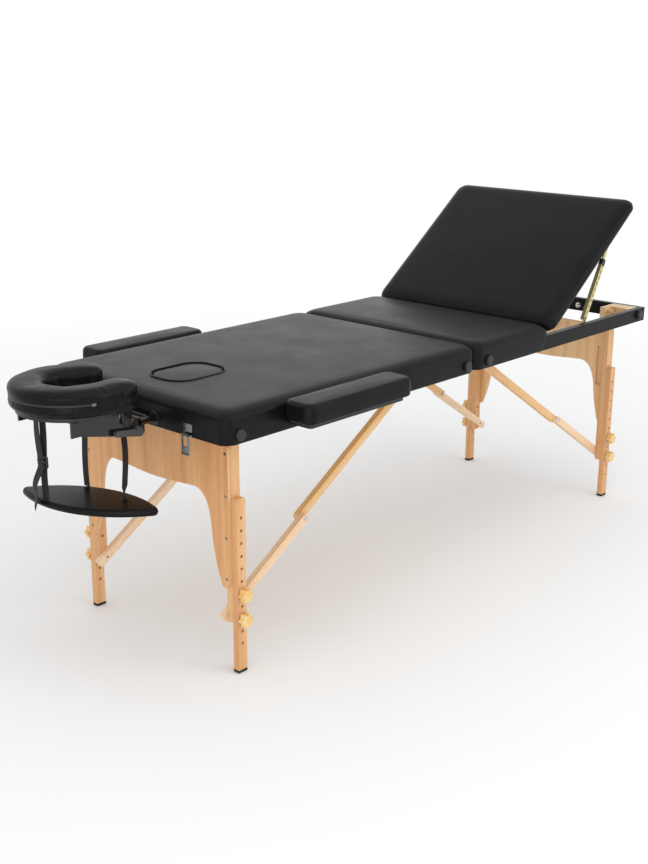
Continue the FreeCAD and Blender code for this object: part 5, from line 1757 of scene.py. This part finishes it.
class Dresser:
    """Gives every construction node its finish.

    Attributes:
        plain: Finish of each node that occurs once.
        leg: Finish of each leg node, without the word for its end of the table.
    """

    plain: dict[str, Finish] = {
        "head_rails": VINYL, "foot_rails": VINYL, "backrest_board": VINYL,
        "head_deck": PLY, "foot_deck": PLY, "head_frame_blocks": PALE_BLOCK, "foot_frame_blocks": PALE_BLOCK,
        "head_bumpers": PLASTIC, "foot_bumpers": PLASTIC, "accessory_sockets": PLASTIC,
        "latch_plates": CHROME, "latch_hasps": CHROME, "latch_catches": CHROME,
        "centre_hinge_head_leaves": ZINC, "centre_hinge_pins": ZINC, "centre_hinge_foot_leaves": ZINC,
        "backrest_hinge_fixed_leaves": ZINC, "backrest_hinge_moving_leaves": ZINC,
        "stay_panel_brackets": YELLOW_ZINC, "stay_rail_brackets": YELLOW_ZINC,
        "stay_channels": YELLOW_ZINC, "stay_sliders": YELLOW_ZINC,
        # The foot apron's finish holds painted light: its colour is written lighter than the head apron's.
        "head_apron": HEAD_BOARD, "foot_apron": FOOT_BOARD_PAINTED_LIT, "head_lower_braces": PALE_HEAD,
        "foot_lower_braces": PALE_FOOT, "head_upper_braces": WARM_HEAD, "foot_upper_braces": WARM_FOOT,
        "headrest_bracket": COATED, "headrest_arms": COATED, "headrest_platform": PLASTIC,
        "headrest_lever": GREY_PLASTIC, "armrest_board_near": PLASTIC, "armrest_board_far": PLASTIC,
        "head_cushion": VINYL, "middle_cushion": VINYL, "backrest_cushion": VINYL, "breath_plug": VINYL,
        "headrest_pad": VINYL, "arm_shelf": VINYL, "armrest_pad_near": VINYL, "armrest_pad_far": VINYL,
        "sling_front_strap": STRAP, "sling_back_straps": STRAP,
    }
    leg: dict[str, Finish] = {
        "upper_legs": BEECH, "leg_fasteners": AGED_ZINC, "lower_leg_near": BEECH,
        "lower_leg_far": BEECH, "foot_cap_near": RUBBER, "foot_cap_far": RUBBER, "upper_knobs": KNOB,
        "lower_knobs": KNOB,
    }

    def finish_of(self, node: str) -> Finish:
        """Finish of a node by its name.

        Args:
            node: Name of the node.

        Returns:
            Its finish.
        """
        if node in self.plain:
            return self.plain[node]
        return self.leg[node.split("_", 1)[1]]

    def dress(self, nodes: dict[str, bpy.types.Object]) -> None:
        """Put each node's material into its slots.

        Args:
            nodes: Nodes of the frame by name.
        """
        for name, piece in nodes.items():
            material = self.finish_of(name).material()
            if not piece.material_slots:
                piece.data.materials.append(material)
            for place in piece.material_slots:
                place.material = material
            LOG.info("finish %s: %s", name, material.name)


def facing(right: np.ndarray, up: np.ndarray, back: np.ndarray,
           place: tuple[float, float, float]) -> Matrix:
    """Placement of a lamp or camera.

    Args:
        right: Direction to its right.
        up: Direction of its top.
        back: Direction opposite to where it looks.
        place: Where it stands, in metres.

    Returns:
        Placement matrix.
    """
    turn = np.eye(4)
    turn[:3] = np.column_stack([right, up, back, place])
    return Matrix(turn.tolist())


@dataclass(frozen=True)
class SoftLight:
    """Square lamp that faces a point; lengths are in metres.

    Attributes:
        name: Name of the lamp.
        place: Where it stands.
        target: Point that it faces.
        size: Length of a side.
        watts: Power.
    """

    name: str
    place: tuple[float, float, float]
    target: tuple[float, float, float]
    size: float
    watts: float

    def build(self) -> None:
        """Hang the lamp, its back pointing away from the target."""
        lamp = bpy.data.lights.new(self.name, "AREA")
        lamp.size = self.size
        lamp.energy = self.watts
        holder = bpy.data.objects.new(self.name, lamp)
        back = unit(np.array(self.place) - np.array(self.target))
        right = unit(np.cross(Y_AXIS + 0.001 * Z_AXIS, back))
        holder.matrix_world = facing(right, np.cross(back, right), back, self.place)
        bpy.context.scene.collection.objects.link(holder)


@dataclass
class Studio:
    """White studio: pale floor, broad soft lights and the camera at the photographed angle.

    Lengths are in metres.

    Attributes:
        eye: Where the camera stands.
        azimuth: Heading of the camera, in degrees.
        elevation: How far it looks down, in degrees.
        roll: Turn about its line of sight, in degrees.
        lens: Focal length, in millimetres.
        sensor: Width of its sensor, in millimetres.
        far: Distance up to which it sees.
        floor_half: Half of the floor's side.
        fade: Distances from the table's middle between which the floor turns white.
        lights: A key from the camera's right, a low fill from its left and a broad light above the near
            side.
    """

    eye: tuple[float, float, float] = (-2.534, -2.211, 1.434)
    azimuth: float = -47.74
    elevation: float = 17.29
    roll: float = 0.39
    lens: float = 51.33
    sensor: float = 36.0
    far: float = 60.0
    floor_half: float = 14.0
    fade: tuple[float, float] = (1.5, 3.6)
    lights: tuple[SoftLight, ...] = (
        SoftLight("key", (1.3, -4.0, 2.3), (0.1, 0.0, 0.4), 2.4, 30.0),
        SoftLight("fill", (-3.6, -2.4, 0.9), (0.7, 0.0, 0.3), 2.0, 26.0),
        SoftLight("overhead", (-0.6, -1.6, 3.8), (0.0, 0.0, 0.5), 2.6, 16.0),
    )

    def build(self) -> None:
        """Make the floor, lights, surroundings and camera."""
        self.floor()
        for light in self.lights:
            light.build()
        self.surroundings()
        self.camera()

    def floor(self) -> None:
        """Plain pale floor that keeps the shadow and fades into the white background far away."""
        h = self.floor_half
        mesh = bpy.data.meshes.new("studio floor")
        mesh.from_pydata([(-h, -h, 0.0), (h, -h, 0.0), (h, h, 0.0), (-h, h, 0.0)], [], [(0, 1, 2, 3)])
        made = bpy.data.materials.new("pale studio floor")
        made.use_nodes = True
        tree = made.node_tree
        tree.nodes.clear()
        shader = add(tree, "ShaderNodeBsdfPrincipled",
                     {"Base Color": linear("#f6f6f6"), "Roughness": 0.9, "Specular IOR Level": 0.1})
        white = add(tree, "ShaderNodeEmission", {"Color": linear("#ffffff"), "Strength": 1.0})
        place = add(tree, "ShaderNodeTexCoord").outputs["Object"]
        away = add(tree, "ShaderNodeVectorMath", {0: place}, operation="LENGTH")
        fade = add(tree, "ShaderNodeMapRange", {0: away.outputs["Value"], 1: self.fade[0], 2: self.fade[1]})
        share = add(tree, "ShaderNodeMath", {0: fade.outputs[0], 1: self.looking(tree)}, operation="MULTIPLY")
        mixed = add(tree, "ShaderNodeMixShader",
                    {0: share.outputs[0], 1: shader.outputs[0], 2: white.outputs[0]})
        add(tree, "ShaderNodeOutputMaterial", {"Surface": mixed.outputs[0]})
        mesh.materials.append(made)
        floor = bpy.data.objects.new("studio floor", mesh)
        bpy.context.scene.collection.objects.link(floor)

    def looking(self, tree: bpy.types.NodeTree) -> bpy.types.NodeSocket:
        """One for rays that show the background: seen directly, mirrored or seen through.

        Args:
            tree: Tree that gets the nodes.

        Returns:
            The largest of the three ray kinds.
        """
        path = add(tree, "ShaderNodeLightPath").outputs
        direct = add(tree, "ShaderNodeMath", {0: path["Is Camera Ray"], 1: path["Is Glossy Ray"]},
                     operation="MAXIMUM")
        either = add(tree, "ShaderNodeMath", {0: direct.outputs[0], 1: path["Is Transmission Ray"]},
                     operation="MAXIMUM")
        return either.outputs[0]

    def surroundings(self) -> None:
        """Even pale light all round, and plain white wherever the background shows."""
        world = bpy.data.worlds.new("studio")
        bpy.context.scene.world = world
        world.use_nodes = True
        tree = world.node_tree
        tree.nodes.clear()
        soft = add(tree, "ShaderNodeBackground", {"Color": linear("#f4f5f6"), "Strength": 1.0})
        white = add(tree, "ShaderNodeBackground", {"Color": linear("#ffffff"), "Strength": 1.0})
        mixed = add(tree, "ShaderNodeMixShader",
                    {0: self.looking(tree), 1: soft.outputs[0], 2: white.outputs[0]})
        add(tree, "ShaderNodeOutputWorld", {"Surface": mixed.outputs[0]})

    def camera(self) -> None:
        """Camera from its measured place, heading, height angle and roll."""
        a, e, r = np.radians([self.azimuth, self.elevation, self.roll])
        back = np.array([math.sin(a) * math.cos(e), -math.cos(a) * math.cos(e), math.sin(e)])
        level = np.array([math.cos(a), math.sin(a), 0.0])
        upright = np.cross(back, level)
        right = level * math.cos(r) + upright * math.sin(r)
        up = upright * math.cos(r) - level * math.sin(r)
        data = bpy.data.cameras.new("photo camera")
        data.lens = self.lens
        data.sensor_width = self.sensor
        data.clip_end = self.far
        holder = bpy.data.objects.new("photo camera", data)
        holder.matrix_world = facing(right, up, back, self.eye)
        scene = bpy.context.scene
        scene.collection.objects.link(holder)
        scene.camera = holder
        scene.view_settings.view_transform = "Standard"


def panels() -> list[BedPanel]:
    """The three cushioned panels of the bed.

    Returns:
        Panels from the head to the foot.
    """
    return [
        BedPanel("head_panel_cover", "head_cushion", "head_half", x0=-930.0, x1=-1.0, low=598.0,
                 end_low=598.0, hole=BreathOpening()),
        BedPanel("middle_panel_cover", "middle_cushion", "foot_half", x0=1.0, x1=366.0, low=598.0,
                 end_low=640.0, lean1=18.5),
        BedPanel("backrest_cover", "backrest_cushion", "backrest", x0=378.0, x1=930.0, low=640.9,
                 end_low=640.9, lean0=18.5, raised=37.0),
    ]


def main() -> None:
    """Build and dress the table, then the studio."""
    logging.basicConfig(level=logging.INFO, format="%(message)s")
    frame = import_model()
    Dresser().dress(frame["nodes"])
    builders = panels() + [BreathPlug(), HeadrestCushion(), Sling()]
    builders += [ArmSupport(side) for side in Side] + [BraceBolts(end) for end in TableEnd]
    builders += [StayHeads(), RailFittings()]
    for builder in builders:
        for piece in builder.build():
            LOG.info("piece %s: %d faces", piece.name, len(piece.data.polygons))
    Studio().build()
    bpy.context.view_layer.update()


if __name__ == "__main__":
    main()
